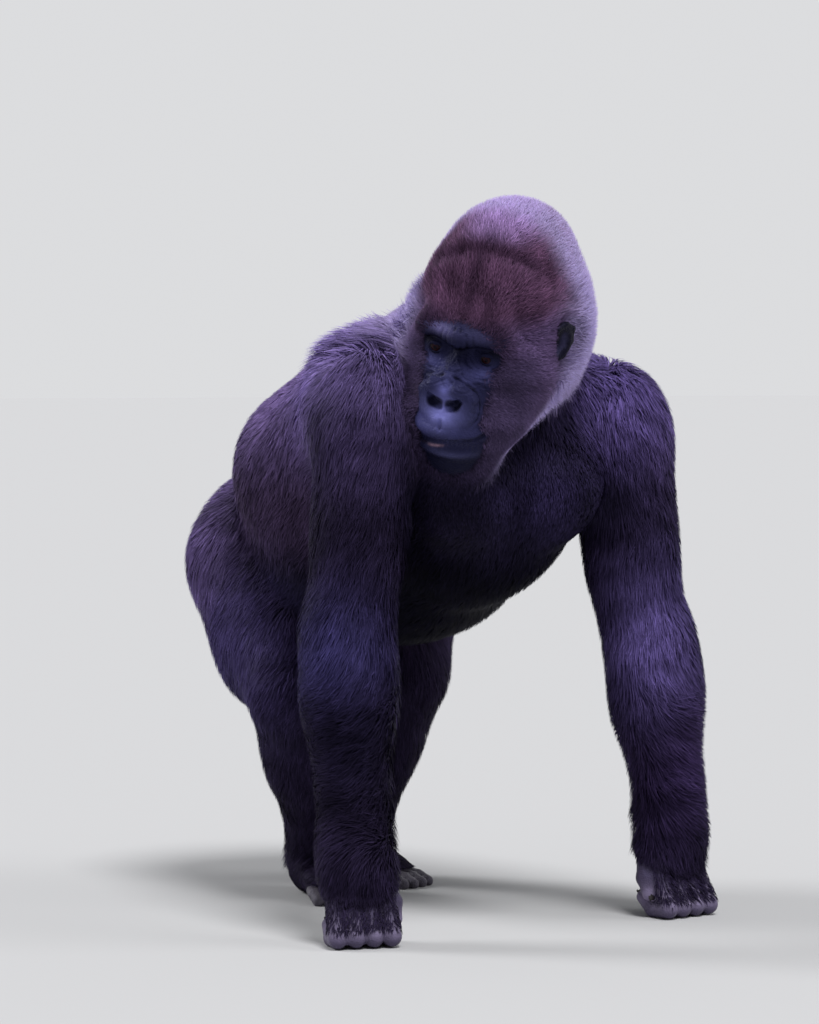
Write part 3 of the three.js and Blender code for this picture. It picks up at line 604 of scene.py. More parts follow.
def ruff(q):
    """Where the hair of temple and cheek stands off, in the head's own frame; most on the right."""
    x, y, z = np.abs(q[:, 0]), q[:, 1], q[:, 2]
    right = q[:, 0] < 0
    stands = smooth(x, 56, 80) * bell(y - np.where(right, -12, 26), 34) * smooth(z, -125, -75)
    stands = stands * (1 - smooth(z, np.where(right, -10, 30), np.where(right, 80, 95)))
    clear_of_ear = smooth(np.hypot(y + 3, z - 8), 27, 42)
    return stands * np.where(right, 1.25, 0.4 * clear_of_ear)


def head_share(d):
    others = np.minimum.reduce([d[name] for name in d if name != "head"])
    return smooth(others - d["head"], -20, 25)


def scalp_colour(q):
    """Colour of the coat on the head, in the head's own frame."""
    x, y, z = np.abs(q[:, 0]), q[:, 1], q[:, 2]
    crease_line = 133 - 2 * np.cos(x / 22)
    middle = bell(x, 10) * smooth(z, 40, 60)
    return painted(
        "crown",
        ("pad", 1 - smooth(z - 0.25 * (y + 60), crease_line - 20, crease_line + 10)),
        # Painted shade in the crease under the crown, in the valley between the brow pads and in the furrow
        # above the brow.
        ("crease_shade", 0.9 * bell(chain_distance(q, CREASE[1:-1]), 18)),
        ("crease_shade", 0.5 * middle * (1 - smooth(z, 105, 130))),
        ("cheek", 1 - smooth(z - 0.25 * x, 5, 45)),
        ("crease_shade", 0.75 * (1 - smooth(y, -112, -78)) * (1 - smooth(z, 36, 62))),
        ("jaw", 0.9 * smooth(-y - 0.25 * z, 25, 95) * (1 - smooth(z, -15, 25))),
        ("dark", 0.85 * smooth(-z, 112, 138) * (1 - smooth(x, 30, 56)) * (y < -30)),
    )


def coat_colour(p, d):
    """Colour of the coat at points, and how far its tips are frosted: pale hair tips with painted rim light
    round the head.
    """
    _, y, z = p.T
    limbs = np.minimum.reduce([d[name] for name in d if name[:3] in ("arm", "leg")])
    body = smooth(limbs - d["trunk"], -30, 40)
    colour = painted(
        "dark",
        ("flank", body * smooth(y, -100, 40)),
        # Rump, shoulder and back layers: lighter toward the top as painted highlight; on the back also the
        # fur's own grey-brown.
        ("rump", smooth(y, 180, 300) * smooth(z, 360, 520)),
        ("shoulder", smooth(z, 620, 790) * 0.9),
        ("back", smooth(z, 790, 880) * body),
        # Chest and belly: dark fur, darkened further as painted shade between the arms and under the body.
        ("chest", smooth(limbs - d["trunk"], -60, 0) * smooth(-y, 80, 170) * (1 - smooth(z, 760, 840))),
        ("belly", body * (1 - smooth(z, 500, 600)) * (1 - smooth(y, 190, 300))),
    )
    q = head.inward(p)
    of_head = head_share(d)
    # Painted highlights and painted shade laid over the coat's colour.
    colour = mixed(with_painted_light(colour, p, COAT_PAINTED_LIGHT), scalp_colour(q), of_head)

    up = q[:, 2]
    # Frosted tips round the head's rim and in the ruff, most on the right: pale hair, with painted rim
    # light.
    edge = q[:, 1] + 0.55 * np.maximum(-up - 10, 0) + 0.25 * np.maximum(up - 60, 0)
    edge = edge + 42 * smooth(-q[:, 0], 40, 80)
    frost_and_rim_light = of_head * smooth(edge, -6, 36) * (1 - 0.35 * smooth(up, 80, 160))
    frost_and_rim_light = frost_and_rim_light * (1 - 0.6 * smooth(q[:, 1], 70, 130))
    frost_and_rim_light = np.maximum(frost_and_rim_light, of_head * np.minimum(1.6 * ruff(q), 1))
    nape = bell(np.maximum(d["head"] - 4, 0), 70) * smooth(z, 700, 800)
    return colour, np.maximum(frost_and_rim_light, 0.4 * (1 - of_head) * nape * body * smooth(z, 820, 880))


def skin_colour(p, coat, d):
    """Bare skin where the coat is thin, otherwise the coat's own markings, darker as dark skin with painted
    shade under the coat; and how bare it is.
    """
    under, frost_and_rim_light = coat_colour(p, d)
    under = mixed(under, TONES["frost_and_rim_light"], 0.15 * frost_and_rim_light) * COAT_TONE
    q = head.inward(p)
    of_head = head_share(d)
    x, y, z = np.abs(q[:, 0]), q[:, 1], q[:, 2]
    ear = x > EAR_OUT
    bare = painted("limb", ("face", of_head), ("ear", of_head * ear))
    chin = (1 - smooth(z, -148, -126)) * (y < -60)
    # Painted highlights and painted shade laid over the bare face.
    bare = with_painted_light(bare * (1 - 0.6 * of_head * chin)[:, None], q, FACE_PAINTED_LIGHT, of_head)
    nostril = np.stack([x - NOSTRIL_SHADE["out"], y - NOSTRIL_SHADE["forward"], z - NOSTRIL_SHADE["up"]], 1)
    hollow = 1 - smooth(np.linalg.norm(nostril / NOSTRIL_SHADE["radii"], axis=1), 0.7, 1.15)
    # Painted shade: under the brow, in the nostrils, in the line between the lips and in the folds of the
    # face.
    for strength, shade in ((0.9, bell(chain_distance(q, BROW_SHADE), 10)), (0.9, hollow),
                            (0.93, bell(chain_distance(q, MOUTH), 3.6)),
                            (0.75, np.clip(fold_depth(q), 0, 2) / 2)):
        bare = bare * (1 - strength * of_head * shade)[:, None]
    bare = mixed(bare, TONES["lip"], 0.45 * of_head * bell(chain_distance(q, LIP), 1.7))
    # Painted highlight along the ear's inner fold.
    ear_fold = bell(chain_distance(np.stack([x, y, z], 1), EAR_FOLD), 4.0)
    bare = mixed(bare, TONES["ridge"], 0.9 * of_head * ear * ear_fold)
    hand = np.minimum(d["arm_right"], d["arm_left"]) < np.minimum(d["leg_right"], d["leg_left"])
    left = p[:, 0] > 100
    knuckles = hand * smooth(p[:, 1], np.where(left, -90, -150), np.where(left, -140, -200))
    knuckles = knuckles * bell(p[:, 2] - 30, 18) * np.where(left, 1.0, 0.8)
    bare = mixed(bare, TONES["knuckle"], knuckles * (1 - of_head))
    bare = mixed(bare, TONES["heel"], ~hand * (1 - smooth(p[:, 2], 18, 42)) * 0.8)
    cover = smooth(coat, 2.6, 6)
    return bare + (under - bare) * cover[:, None], 1 - cover


# ---- meshes
def mesh_object(name, points, squares, triangles=(), colour=None):
    """A smooth object from points in metres, square faces and triangles, in that order."""
    squares, triangles = np.asarray(squares, int).reshape(-1, 4), np.asarray(triangles, int).reshape(-1, 3)
    mesh = bpy.data.meshes.new(name)
    mesh.vertices.add(len(points))
    mesh.vertices.foreach_set("co", np.asarray(points, np.float32).ravel())
    corners = np.concatenate([squares.ravel(), triangles.ravel()])
    sizes = np.concatenate([np.full(len(squares), 4), np.full(len(triangles), 3)])
    mesh.loops.add(len(corners))
    mesh.loops.foreach_set("vertex_index", corners.astype(np.int32))
    mesh.polygons.add(len(sizes))
    mesh.polygons.foreach_set("loop_start", (np.cumsum(sizes) - sizes).astype(np.int32))
    mesh.update(calc_edges=True)
    mesh.polygons.foreach_set("use_smooth", np.ones(len(sizes), bool))
    if colour is not None:
        layer = mesh.attributes.new("tint", "FLOAT_COLOR", "POINT")
        rgba = np.concatenate([colour, np.ones((len(colour), 1))], 1)
        layer.data.foreach_set("color", rgba.astype(np.float32).ravel())
    thing = bpy.data.objects.new(name, mesh)
    bpy.context.collection.objects.link(thing)
    return thing


def keep_bare(thing, bare):
    """Stores how bare the skin is at each point, for its material."""
    layer = thing.data.attributes.new("bare", "FLOAT", "POINT")
    layer.data.foreach_set("value", bare.astype(np.float32))


def refined(points, faces, chosen):
    """The mesh with every edge halved whose two ends are chosen."""
    bm = bmesh.new()
    verts = [bm.verts.new(p) for p in points]
    bm.verts.index_update()
    for face in faces:
        bm.faces.new([verts[i] for i in face])
    mask = chosen(points)
    edges = [e for e in bm.edges if mask[e.verts[0].index] and mask[e.verts[1].index]]
    bmesh.ops.subdivide_edges(bm, edges=edges, cuts=1, use_grid_fill=True)
    bm.verts.index_update()
    made = np.array([v.co for v in bm.verts])
    rings = [[v.index for v in f.verts] for f in bm.faces]
    bm.free()
    return made, rings


def in_front(q, wide, back, low, high):
    """Whether points in the head's own frame are within its front."""
    return (np.abs(q[:, 0]) < wide) & (q[:, 1] < back) & (q[:, 2] > low) & (q[:, 2] < high)


def in_face(p):
    q = head.inward(p)
    ear = (np.abs(q[:, 0]) > 80) & (np.abs(q[:, 1] + 2) < 32) & (np.abs(q[:, 2] - 6) < 38)
    return in_front(q, 82, -55, -172, 42) | ear


def in_features(p):
    return in_front(head.inward(p), 66, -84, -136, 30)


def in_fingers(p):
    return (p[:, 2] < 92) & ((p[:, 1] < -90) | ((p[:, 2] < 40) & (p[:, 1] > 120) & (p[:, 1] < 420)))


def build_skin():
    lines = [
        grid_lines(-360, 430, 9.5, [(-205, -15, 5.2)]),  # closer at the face
        grid_lines(-480, 520, 9.5, [(-470, -335, 4.6)]),
        grid_lines(-12, 1080, 9.5, [(-12, 60, 5.0), (700, 950, 5.2)]),  # and at the hands and feet
    ]
    points, faces = nets(skin_distance, lines)
    points = settle(skin_distance, points, 2, 2.0)
    for chosen, most in ((in_fingers, 1.5), (in_face, 1.5), (in_features, 0.8)):
        points, faces = refined(points, faces, chosen)
        points = settle(skin_distance, points, 2, most)
    q = head.inward(points)
    near = in_front(q, 92, -20, -175, 150)
    normal = unit(slope(skin_distance, points[near]))
    points[near] -= normal * (fold_depth(q[near]) + fine_lines(q[near]))[:, None]
    return points, faces


def adjusted(node, values):
    for name, value in values.items():
        node.inputs[name].default_value = value
    return node


def added(nodes, kind, values=None, **properties):
    """A new shader node, with its properties and then its inputs set."""
    node = nodes.new("ShaderNode" + kind)
    for name, value in properties.items():
        setattr(node, name, value)
    return adjusted(node, values or {})


def wire(tree, *wires):
    """Joins a node's output to another's input, for each wire."""
    for source, output, target, socket in wires:
        tree.links.new(source.outputs[output], target.inputs[socket])


def with_nodes(owner):
    owner.use_nodes = True
    return owner, owner.node_tree, owner.node_tree.nodes


def material(name, roughness, grain, specular, gloss_tint=(1, 1, 1), colour=None, bump_height=0):
    """A surface in one colour, or in those of the tint attribute, broken up by a grain."""
    mat, tree, nodes = with_nodes(bpy.data.materials.new(name))
    shader = adjusted(nodes["Principled BSDF"], {
        "Roughness": roughness, "Specular IOR Level": specular, "Specular Tint": (*gloss_tint, 1)})
    coords = added(nodes, "TexCoord")
    noise = added(nodes, "TexNoise", {"Scale": grain, "Detail": 5})
    spread = added(nodes, "MapRange", {"To Min": 0.7, "To Max": 1.3})
    tone = added(nodes, "Mix", {"Factor": 1.0}, data_type="RGBA", blend_type="MULTIPLY")
    wire(tree, (coords, "Object", noise, "Vector"), (noise, "Fac", spread, "Value"),
         (spread, "Result", tone, "B"), (tone, "Result", shader, "Base Color"))
    if colour is None:
        wire(tree, (added(nodes, "Attribute", attribute_name="tint"), "Color", tone, "A"))
    else:
        tone.inputs["A"].default_value = (*colour, 1)
    if bump_height:
        bump = added(nodes, "Bump", {"Distance": bump_height, "Strength": 1.0})
        wire(tree, (noise, "Fac", bump, "Height"), (bump, "Normal", shader, "Normal"))
    return mat


def skin_material():
    """Bare skin, pebbled and wrinkled; the attribute bare fades both out under the coat."""
    mat = material("gorilla_skin", 0.5, 90, 0.12, (0.50, 0.50, 1.0))
    tree, nodes = mat.node_tree, mat.node_tree.nodes
    shader = nodes["Principled BSDF"]
    coords = next(n for n in nodes if n.type == "TEX_COORD")
    bare = added(nodes, "Attribute", attribute_name="bare")
    rough = added(nodes, "MapRange", {"To Min": 0.75, "To Max": 0.38})
    cells = added(nodes, "TexVoronoi", {"Scale": 420})
    fine = added(nodes, "TexNoise", {"Scale": 170, "Detail": 6, "Distortion": 1.2})
    pebbles = added(nodes, "Bump", {"Distance": 0.0007})
    wrinkles = added(nodes, "Bump", {"Distance": 0.0006})
    wire(tree, (bare, "Fac", rough, "Value"), (rough, "Result", shader, "Roughness"),
         (coords, "Object", cells, "Vector"), (coords, "Object", fine, "Vector"),
         (cells, "Distance", pebbles, "Height"), (fine, "Fac", wrinkles, "Height"),
         (bare, "Fac", pebbles, "Strength"), (bare, "Fac", wrinkles, "Strength"),
         (pebbles, "Normal", wrinkles, "Normal"), (wrinkles, "Normal", shader, "Normal"))
    return mat


# ---- eyes and nails
def eye_axes(s):
    """Centre of an eyeball, and its sideways, forward and upward directions, in the head's own frame."""
    forward = unit(np.array([s * 0.06 + 0.10, -1.0, -0.10]))
    sideways = unit(np.cross(forward, (0, 0, 1.0)))
    centre = np.array([s * EYE["out"], EYE["forward"], EYE["up"]])
    return centre, sideways, forward, np.cross(sideways, forward)


def round_rows(angles, radii, s, count):
    """Rings round an eye's forward axis, each with its angle from the axis and its radius."""
    centre, sideways, forward, up = eye_axes(s)
    turn = np.arange(count)[:, None] * 2 * math.pi / count
    ring = np.cos(turn) * sideways + np.sin(turn) * up
    rows = []
    for angle, radius in zip(angles, radii):
        angle = np.broadcast_to(angle, count)[:, None]
        rows.append(centre + radius * (np.cos(angle) * forward + np.sin(angle) * ring))
    return np.concatenate(rows)


def strips(rows, count, closed=False):
    squares = []
    for row in range(rows if closed else rows - 1):
        a, b = row * count, (row + 1) % rows * count
        squares += [(a + i, a + (i + 1) % count, b + (i + 1) % count, b + i) for i in range(count)]
    return squares


# Degrees from the middle of the eye, and colour there: pupil, iris, its dark rim and the brown white.
IRIS = [(5.5, (0.001, 0.001, 0.001)), (8, (0.004, 0.0015, 0.0015)), (17, (0.022, 0.006, 0.006)),
        (24, (0.004, 0.0015, 0.0015)), (27, (0.006, 0.004, 0.003)), (34, (0.020, 0.012, 0.010)),
        (180, (0.050, 0.030, 0.025))]


def build_eye(side, s):
    """An eyeball with pupil, iris and a bulging cornea."""
    count = 64
    angles = np.radians(np.concatenate([np.linspace(0.4, 44, 45), np.linspace(50, 179.6, 22)]))
    degrees = np.degrees(angles)
    radii = EYE["radius"] + 0.5 * (1 - smooth(degrees, 0, 36))
    points = round_rows(angles, radii, s, count)
    stops, tones = [a for a, _ in IRIS], np.array([c for _, c in IRIS])
    tint = np.stack([np.interp(degrees, stops, tones[:, i]) for i in range(3)], 1)
    thing = mesh_object("eye_" + side + "_ball", to_frame(head.outward(points)), strips(len(angles), count),
                        colour=np.repeat(tint, count, 0))
    thing.data.materials.append(eye_material)
    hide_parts("eye_" + side)
    return thing


def build_lids(side, s):
    """Both lids of an eye as one ring of skin round an almond opening."""
    count = 72
    turn = np.arange(count) * 2 * math.pi / count
    rise = np.where(np.sin(turn) > 0, 3.9, 4.3) * np.sin(turn) * np.abs(np.sin(turn)) ** 0.3
    width = 7.9 * np.cos(turn)
    opening = np.arcsin(np.hypot(width, rise) / EYE["radius"])
    rows = [(0, -0.6), (0, 0.5), (0.04, 1.2), (0.1, 1.5), (0.2, 1.2), (0.28, 1.7), (0.42, 1.4),
            (0.62, 0.4), (1.0, -2.0), (0.5, -2.0)]  # share of the way out, and lift off the eyeball
    angles = [opening + (math.radians(68) - opening) * share for share, _ in rows]
    radii = [EYE["radius"] + lift for _, lift in rows]
    points = round_rows(angles, radii, s, count)
    squares = [face[::-1] for face in strips(len(rows), count, closed=True)]
    # The lids darker than the face: painted shade under the brow.
    tint = np.tile(np.array(TONES["face"]) * 0.55, (len(points), 1))
    thing = mesh_object("eyelids_" + side, to_frame(head.outward(points)), squares, colour=tint)
    keep_bare(thing, np.full(len(points), 0.5))
    thing.data.materials.append(skin_mat)
    return thing


def nail(centre, forward, up, width, length):
    """A curved plate: points in its flesh's frame, and squares."""
    forward, up = unit(np.array(forward, float)), np.array(up, float)
    sideways = unit(np.cross(forward, up))
    up = np.cross(sideways, forward)
    n = 9
    across, run = np.meshgrid(np.linspace(-1, 1, n), np.linspace(-1, 1, n), indexing="ij")
    half = width * np.sqrt(np.maximum(1 - 0.75 * np.abs(run) ** 6, 0))
    arch = -0.42 * width * across ** 2 - 0.10 * length * np.maximum(run, 0) ** 2
    top = (across * half)[..., None] * sideways + (run * length)[..., None] * forward + arch[..., None] * up
    top = top.reshape(-1, 3) + np.array(centre, float)
    points = np.concatenate([top, top - up * 1.3])
    under, last = n * n, n - 1
    squares = []
    for i, j in np.ndindex(last, last):
        a = i * n + j
        b = a + under
        squares += [(a, a + n, a + n + 1, a + 1), (b, b + 1, b + n + 1, b + n)]
    edge = [(i, 0) for i in range(n)] + [(last, j) for j in range(1, n)]
    edge += [(i, last) for i in range(last - 1, -1, -1)] + [(0, j) for j in range(last - 1, 0, -1)]
    edge = [i * n + j for i, j in edge]
    squares += [(a + under, b + under, b, a) for a, b in zip(edge, edge[1:] + edge[:1])]
    return points, squares


def build_nails(side, s):
    for kind, place in (("hand", HANDS), ("foot", FEET)):
        flesh = Flesh(**place[side])
        if kind == "hand":
            plates = [((s * out * 0.96, 20, 33), (0, 0.82, 0.57), (0, 0.5, -0.85), 6.0, 7.0)
                      for out, _ in FINGERS]
            plates.append(((-s * 53, -27, 38), (0, -0.3, -0.95), (0, -1, 0.2), 5.5, 7.0))
        else:
            plates = [((s * out * 1.14, -139 - far, 18), (0, -0.95, -0.3), (0, -0.25, 1), 5.5, 6.0)
                      for out, far in TOES]
            plates.append(((-s * 57, -106, 25), (-s * 0.25, -0.95, -0.2), (0, -0.2, 1), 8.0, 8.0))
        points, squares = [], []
        for plate in plates:
            new, faces = nail(*plate)
            squares += [tuple(i + len(points) * len(new) for i in face) for face in faces]
            points.append(new)
        thing = mesh_object(f"nails_{kind}_{side}", to_frame(flesh.outward(np.concatenate(points))), squares)
        thing.data.materials.append(nail_material)
        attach(thing, "root")


# ---- the coat
class Lattice:
    """The skin's distance and the coat's depth, kept on a grid and read between its points."""

    def __init__(self, lo, hi, step):
        self.lo, self.step = np.array(lo, float), step
        self.shape = np.ceil((np.array(hi) - lo) / step).astype(int) + 1
        axes = [start + step * np.arange(n) for start, n in zip(lo, self.shape)]
        grid = np.stack(np.meshgrid(*axes, indexing="ij"), -1)
        d, c = (v.reshape(self.shape) for v in body_field(whole, grid.reshape(-1, 3)))
        self.values = np.stack([d, c, *np.gradient(d, step)], -1)

    def read(self, p):
        """Distance, coat depth and outward direction."""
        g = np.clip((p - self.lo) / self.step, 0, self.shape - 1.001)
        cell = g.astype(int)
        t = g - cell
        total = np.zeros((len(p), 5))
        for corner in np.ndindex(2, 2, 2):
            weight = np.prod(np.where(corner, t, 1 - t), axis=1)
            total += weight[:, None] * self.values[tuple((cell + corner).T)]
        return total[:, 0], total[:, 1], unit(total[:, 2:])


def ripple(p, wavelength, rng):
    """A smooth field of unit-sized vectors that changes over about a wavelength."""
    total = np.zeros_like(p)
    for _ in range(5):
        runs = rng.normal(size=(3, 3)) * (2 * math.pi / wavelength / 1.7)
        total += np.sin(p @ runs + rng.uniform(0, 2 * math.pi, 3))
    return total / 2.2


def head_lie(p, normal):
    """Hair runs back from the face, up over the brow and down the cheeks."""
    q = head.inward(p)
    down = smooth(-q[:, 2], 0, 90)
    off = ruff(q)
    v = np.stack([(0.45 + 1.1 * off) * q[:, 0] / 80, 1.0 - 0.3 * down - 0.3 * off,
                  0.75 * smooth(q[:, 2], 0, 60) - 0.85 * down], 1)
    return v @ head.matrix.T


def trunk_lie(p, normal):
    """Hair runs back along the spine, down the flanks and down the chest."""
    side = 1 - np.abs(normal[:, 2])
    front = smooth(-normal[:, 1], 0.3, 0.8)
    return np.stack([0.25 * normal[:, 0], 1.0 - 0.55 * side - 0.6 * front, -0.25 - side - 0.4 * front], 1)


def arm_lie(s, joints):
    elbow = joints["elbow"][2]

    def lie(p, normal):
        """Hair runs down the upper arm, and outward round the forearm."""
        low = smooth(-p[:, 2], -elbow - 30, -elbow + 110) * smooth(p[:, 2], 100, 170)
        down = np.array([s * 0.22, 0.12, -1.0])
        outward = np.array([s * 1.0, 0.35, -0.22])
        return down + (outward - down) * low[:, None]

    return lie


def leg_lie(s):
    def lie(p, normal):
        """Hair runs down the leg and a little outward and back."""
        return np.tile((s * 0.15, 0.30, -1.0), (len(p), 1))

    return lie


def round_map(a, b):
    """An unwrap of a long form: angle round the line from a to b, and place along it."""
    a, b = np.array(a, float), np.array(b, float)
    axis = unit(b - a)
    first = unit(np.cross(axis, (0.31, 0.87, 0.38)))
    second = np.cross(axis, first)

    def place(p):
        q = p - a
        return np.stack([np.arctan2(q @ first, q @ second), (q @ axis) / 120], 1)

    return place


def globe_map(p):
    """An unwrap of the head: longitude and latitude about its crown."""
    q = head.inward(p) - np.array([0, -10, 0])
    return np.stack([np.arctan2(q[:, 0], q[:, 1]), np.arctan2(q[:, 2], np.hypot(q[:, 0], q[:, 1]))], 1)


def spread_roots(weights, count, rng):
    """Triangle numbers and places in them, spread evenly over the weights."""
    total = np.cumsum(weights)
    at = (np.arange(count) + rng.random(count)) / count * total[-1]
    chosen = np.minimum(np.searchsorted(total, at), len(weights) - 1)
    a, b = rng.random(count), rng.random(count)
    over = a + b > 1
    a[over], b[over] = 1 - a[over], 1 - b[over]
    return chosen, a, b


def build_coat(name, weights, lie, unwrap, look, seed):
    """One piece of the coat: a bent blade for each tuft, narrowing to its tip."""
    rng = np.random.default_rng(seed)
    chosen, a, b = spread_roots(weights, TUFTS, rng)
    first, second, third = triangles[chosen].transpose(1, 0, 2)
    root = first + a[:, None] * (second - first) + b[:, None] * (third - first)
    _, depth, normal = lattice.read(root)
    depth = depth + RUFF_LIFT * ruff(head.inward(root))
    flow = unit(lie(root, normal))
    flow = flow + look["wave"] * ripple(root, 70, rng) + 0.6 * look["wave"] * ripple(root, 22, rng)
    flow = flow + rng.normal(size=(TUFTS, 3)) * look["stray"]
    flow = unit(flow - (flow * normal).sum(1)[:, None] * normal)

    rise = depth * (1.0 - 0.55 * rng.random(TUFTS) ** 1.5) * look["lift"]
    reach = (5 + depth * look["reach"]) * rng.uniform(0.65, 1.2, TUFTS)
    clumps = max(1, TUFTS // TUFTS_IN_CLUMP)
    tree = kdtree.KDTree(clumps)
    for i, p in enumerate(root[rng.permutation(TUFTS)[:clumps]]):
        tree.insert(p, i)
    tree.balance()
    inward = np.array([tree.find(p)[0] for p in root]) - root
    inward = inward - (inward * normal).sum(1)[:, None] * normal
    pull = (rng.uniform(0.2, 0.65, TUFTS) * look["clump"])[:, None]
    spine = [root - normal * 1.2]
    for t in STEPS[1:]:
        p = root + flow * (reach * t ** 1.15)[:, None] + normal * (rise * t)[:, None] + inward * pull * t
        p[:, 2] -= look["sag"] * reach * t * t
        want = rise * (1 - (1 - t) ** 1.8)
        for _ in range(2):
            distance, _, away = lattice.read(p)
            p = p + away * (want - distance)[:, None]
        p[:, 2] = np.maximum(p[:, 2], 1.0)
        spine.append(p)

    heading = unit(spine[-2] - spine[0] + 0.01 * normal)
    across = unit(np.cross(heading, normal))
    twist = np.clip(rng.normal(0, 0.5, TUFTS), -1.2, 1.2)[:, None]
    across = across * np.cos(twist) + np.cross(heading, across) * np.sin(twist)
    wide = look["width"] * rng.uniform(0.6, 1.3, TUFTS)
    points, normals = np.empty((2, TUFTS, BLADE_POINTS, 3))
    for k, share in enumerate((0.75, 1.0)):
        half = across * (wide * share * 0.5)[:, None]
        points[:, 2 * k], points[:, 2 * k + 1] = spine[k] - half, spine[k] + half
    points[:, -1] = spine[-1]
    facing = unit(np.cross(across, heading))
    facing = facing * np.sign((facing * normal).sum(1))[:, None]
    for k, p in enumerate(spine):
        toward = unit(lattice.read(p)[2] + look["gloss"] * facing)
        normals[:, 2 * k:2 * k + 2] = toward[:, None]

    base = np.arange(TUFTS)[:, None] * BLADE_POINTS
    squares, tips = base + (0, 1, 3, 2), base + (2, 3, 4)
    colour, frost_and_rim_light = coat_colour(root, group_distances(root))
    tone = np.exp(rng.normal(0, 0.28, TUFTS))[:, None] * (1 + 0.22 * ripple(root, 45, rng)[:, :1])
    colour = colour * np.clip(tone, 0.4, 2.2)
    # Each blade darker at its root as painted shade deep in the coat, and lighter toward its tip.
    level = np.repeat(STEPS, 2)[:BLADE_POINTS]
    root_shaded_colours = colour[:, None] * (0.4 + 0.9 * level ** 0.7)[None, :, None]
    # Frosted tips: pale hair with painted rim light, strongest toward the tip.
    bright = (frost_and_rim_light * rng.uniform(0.65, 1.4, TUFTS))[:, None] * (0.1 + 0.9 * level ** 1.3)
    root_shaded_colours = root_shaded_colours + (np.array(TONES["frost_and_rim_light"]) - root_shaded_colours) * np.clip(bright, 0, 1)[..., None]

    thing = mesh_object(name, to_frame(points.reshape(-1, 3)), squares, tips, root_shaded_colours.reshape(-1, 3))
    place = unwrap(root)
    low, high = place.min(0), place.max(0)
    place = 0.01 + 0.98 * (place - low) / (high - low)
    uv = (place[:, None] + BAKE_PATCH).reshape(-1, 2)
    corners = np.concatenate([squares.ravel(), tips.ravel()])
    layer = thing.data.uv_layers.new(name="OFBake")
    layer.data.foreach_set("uv", np.clip(uv[corners], 0, 1).astype(np.float32).ravel())
    thing.data.normals_split_custom_set_from_vertices(normals.reshape(-1, 3))
    thing.data.materials.append(hair_material)
    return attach(thing, "root")


# ---- make the animal
skin_mat = skin_material()
hair_material = material("gorilla_hair", 0.5, 260, 0.05, (0.75, 0.7, 1.0))
eye_material = material("gorilla_eye", 0.16, 300, 0.1, (0.75, 0.6, 1.0))
nail_material = material("gorilla_nail", 0.35, 500, 0.4, colour=(0.022, 0.018, 0.020), bump_height=0.0002)

points, faces = build_skin()
squares = np.array([f for f in faces if len(f) == 4])
fans = np.array([(f[0], f[i], f[i + 1]) for f in faces if len(f) != 4 for i in range(1, len(f) - 1)])
tint, bare = skin_colour(points, body_field(whole, points)[1], group_distances(points))
skin = mesh_object("skin", to_frame(points), squares, fans, tint)
keep_bare(skin, bare)
skin.data.materials.append(skin_mat)
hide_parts(*[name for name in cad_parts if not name.startswith("eye")])
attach(skin, "root")

for side, s in SIDES:
    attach(build_eye(side, s), "root")
    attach(build_lids(side, s), "root")
    build_nails(side, s)

lattice = Lattice((-360, -500, -20), (430, 540, 1100), 10.0)  # holds the animal and its coat
triangles = points[np.concatenate([squares[:, [0, 1, 2]], squares[:, [0, 2, 3]], fans])]
middle = triangles.mean(1)
edges = triangles[:, 1:] - triangles[:, :1]
area = np.linalg.norm(np.cross(edges[:, 0], edges[:, 1]), axis=1) / 2
growth = lattice.read(middle)[1]
# Short hair grows densest, and none on the soles.
hairy = area * smooth(growth, 2.8, 6.0) * (2.2 - 1.2 * smooth(growth, 5, 14)) * (middle[:, 2] > 10)
local = head.inward(middle)
hairy *= 1 + 0.7 * ruff(local)
owner = np.argmin([body_field(parts, middle)[0] for parts in groups.values()], 0)
hair = {name: hairy * (owner == number) for number, name in enumerate(groups)}
crown = local[:, 2] > 25
upper = middle[:, 2] > 700 - 0.3 * (middle[:, 1] + 150)  # above a line that falls toward the rump

HEAD_LOOK = dict(reach=0.72, lift=0.95, width=1.0, wave=0.16, stray=0.27, clump=0.25, sag=0.02, gloss=0.45)
BODY_LOOK = dict(reach=1.4, lift=0.8, width=1.4, wave=0.20, stray=0.13, clump=0.35, sag=0.06, gloss=0.5)
LIMB_LOOK = dict(reach=1.7, lift=0.9, width=1.4, wave=0.22, stray=0.14, clump=0.45, sag=0.08, gloss=0.5)

trunk_map = round_map((10, -160, 700), (-30, 380, 560))
build_coat("coat_crown", hair["head"] * crown, head_lie, globe_map, HEAD_LOOK, 11)
build_coat("coat_cheeks", hair["head"] * ~crown, head_lie, globe_map, HEAD_LOOK, 12)
build_coat("coat_back", hair["trunk"] * upper, trunk_lie, trunk_map, BODY_LOOK, 13)
build_coat("coat_belly", hair["trunk"] * ~upper, trunk_lie, trunk_map, BODY_LOOK, 14)
for number, (side, s) in enumerate(SIDES):
    joints = JOINTS[side]
    for limb_name, lie, ends, seed in (("arm", arm_lie(s, joints), ("shoulder", "wrist"), 20),
                                       ("leg", leg_lie(s), ("hip", "ankle"), 30)):
        name = limb_name + "_" + side
        build_coat("coat_" + name, hair[name], lie, round_map(*[joints[end] for end in ends]), LIMB_LOOK,
                   seed + number)


# ---- floor, light and camera
def aimed(name, data, axis, toward):
    """A lamp or camera with its axis turned toward a direction."""
    thing = bpy.data.objects.new(name, data)
    thing.rotation_mode = "QUATERNION"
    thing.rotation_quaternion = toward.to_track_quat(axis, "Y")
    bpy.context.collection.objects.link(thing)
    return thing


def sun(name, toward, strength, spread):
    """A far, soft lamp; toward points from the animal to it."""
    lamp = bpy.data.lights.new(name, "SUN")
    lamp.energy, lamp.angle = strength, math.radians(spread)
    aimed(name, lamp, "Z", Vector(toward))


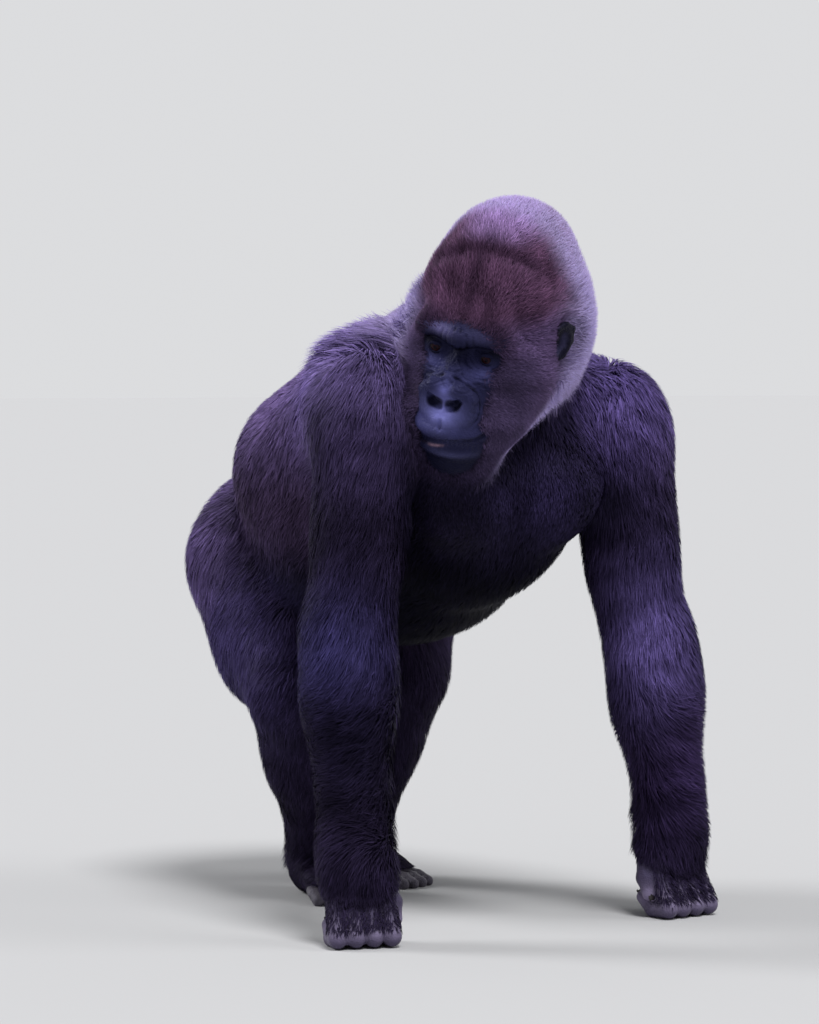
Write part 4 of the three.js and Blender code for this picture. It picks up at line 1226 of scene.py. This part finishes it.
def build_stage():
    """A wide pale floor, a world that is as pale where the camera sees it, and three soft lamps."""
    reach = 90.0
    corners = [(x * reach, y * reach, 0) for x, y in ((-1, -1), (1, -1), (1, 1), (-1, 1))]
    floor = mesh_object("floor", corners, [(0, 1, 2, 3)])
    mat, _, nodes = with_nodes(bpy.data.materials.new("pale_floor"))
    adjusted(nodes["Principled BSDF"], {
        "Base Color": (0.61, 0.61, 0.62, 1), "Roughness": 0.9, "Specular IOR Level": 0.0})
    floor.data.materials.append(mat)

    world, tree, nodes = with_nodes(bpy.data.worlds.new("studio"))
    light = adjusted(nodes["Background"], {"Color": (0.95, 0.97, 1.0, 1), "Strength": 0.26})
    seen = added(nodes, "Background", {"Color": (0.715, 0.72, 0.735, 1)})
    path, choice = added(nodes, "LightPath"), added(nodes, "MixShader")
    mirrored, direct = (added(nodes, "Math", operation="MAXIMUM") for _ in range(2))
    wire(tree, (path, "Is Glossy Ray", mirrored, 0), (path, "Is Transmission Ray", mirrored, 1),
         (path, "Is Camera Ray", direct, 0), (mirrored, "Value", direct, 1), (direct, "Value", choice, 0),
         (light, "Background", choice, 1), (seen, "Background", choice, 2),
         (choice, "Shader", nodes["World Output"], "Surface"))
    bpy.context.scene.world = world
    sun("key", (-0.05, -0.60, 1.0), 2.1, 20)
    sun("side", (1.0, -0.70, 0.9), 0.5, 30)
    sun("rim", (-1.0, 0.80, 0.9), 1.3, 20)


def build_camera():
    a, e = math.radians(CAMERA["azimuth"]), math.radians(CAMERA["elevation"])
    back = Vector((math.sin(a) * math.cos(e), -math.cos(a) * math.cos(e), math.sin(e)))
    data = bpy.data.cameras.new("camera")
    data.sensor_width, data.lens = 36.0, CAMERA["lens"]
    data.clip_start, data.clip_end = 0.1, 200
    thing = aimed("camera", data, "-Z", -back)
    thing.location = Vector(CAMERA["target"]) + Vector(shift * 0.001) + back * CAMERA["distance"]
    bpy.context.scene.camera = thing


build_stage()
build_camera()
bpy.context.scene.view_settings.view_transform = "Standard"
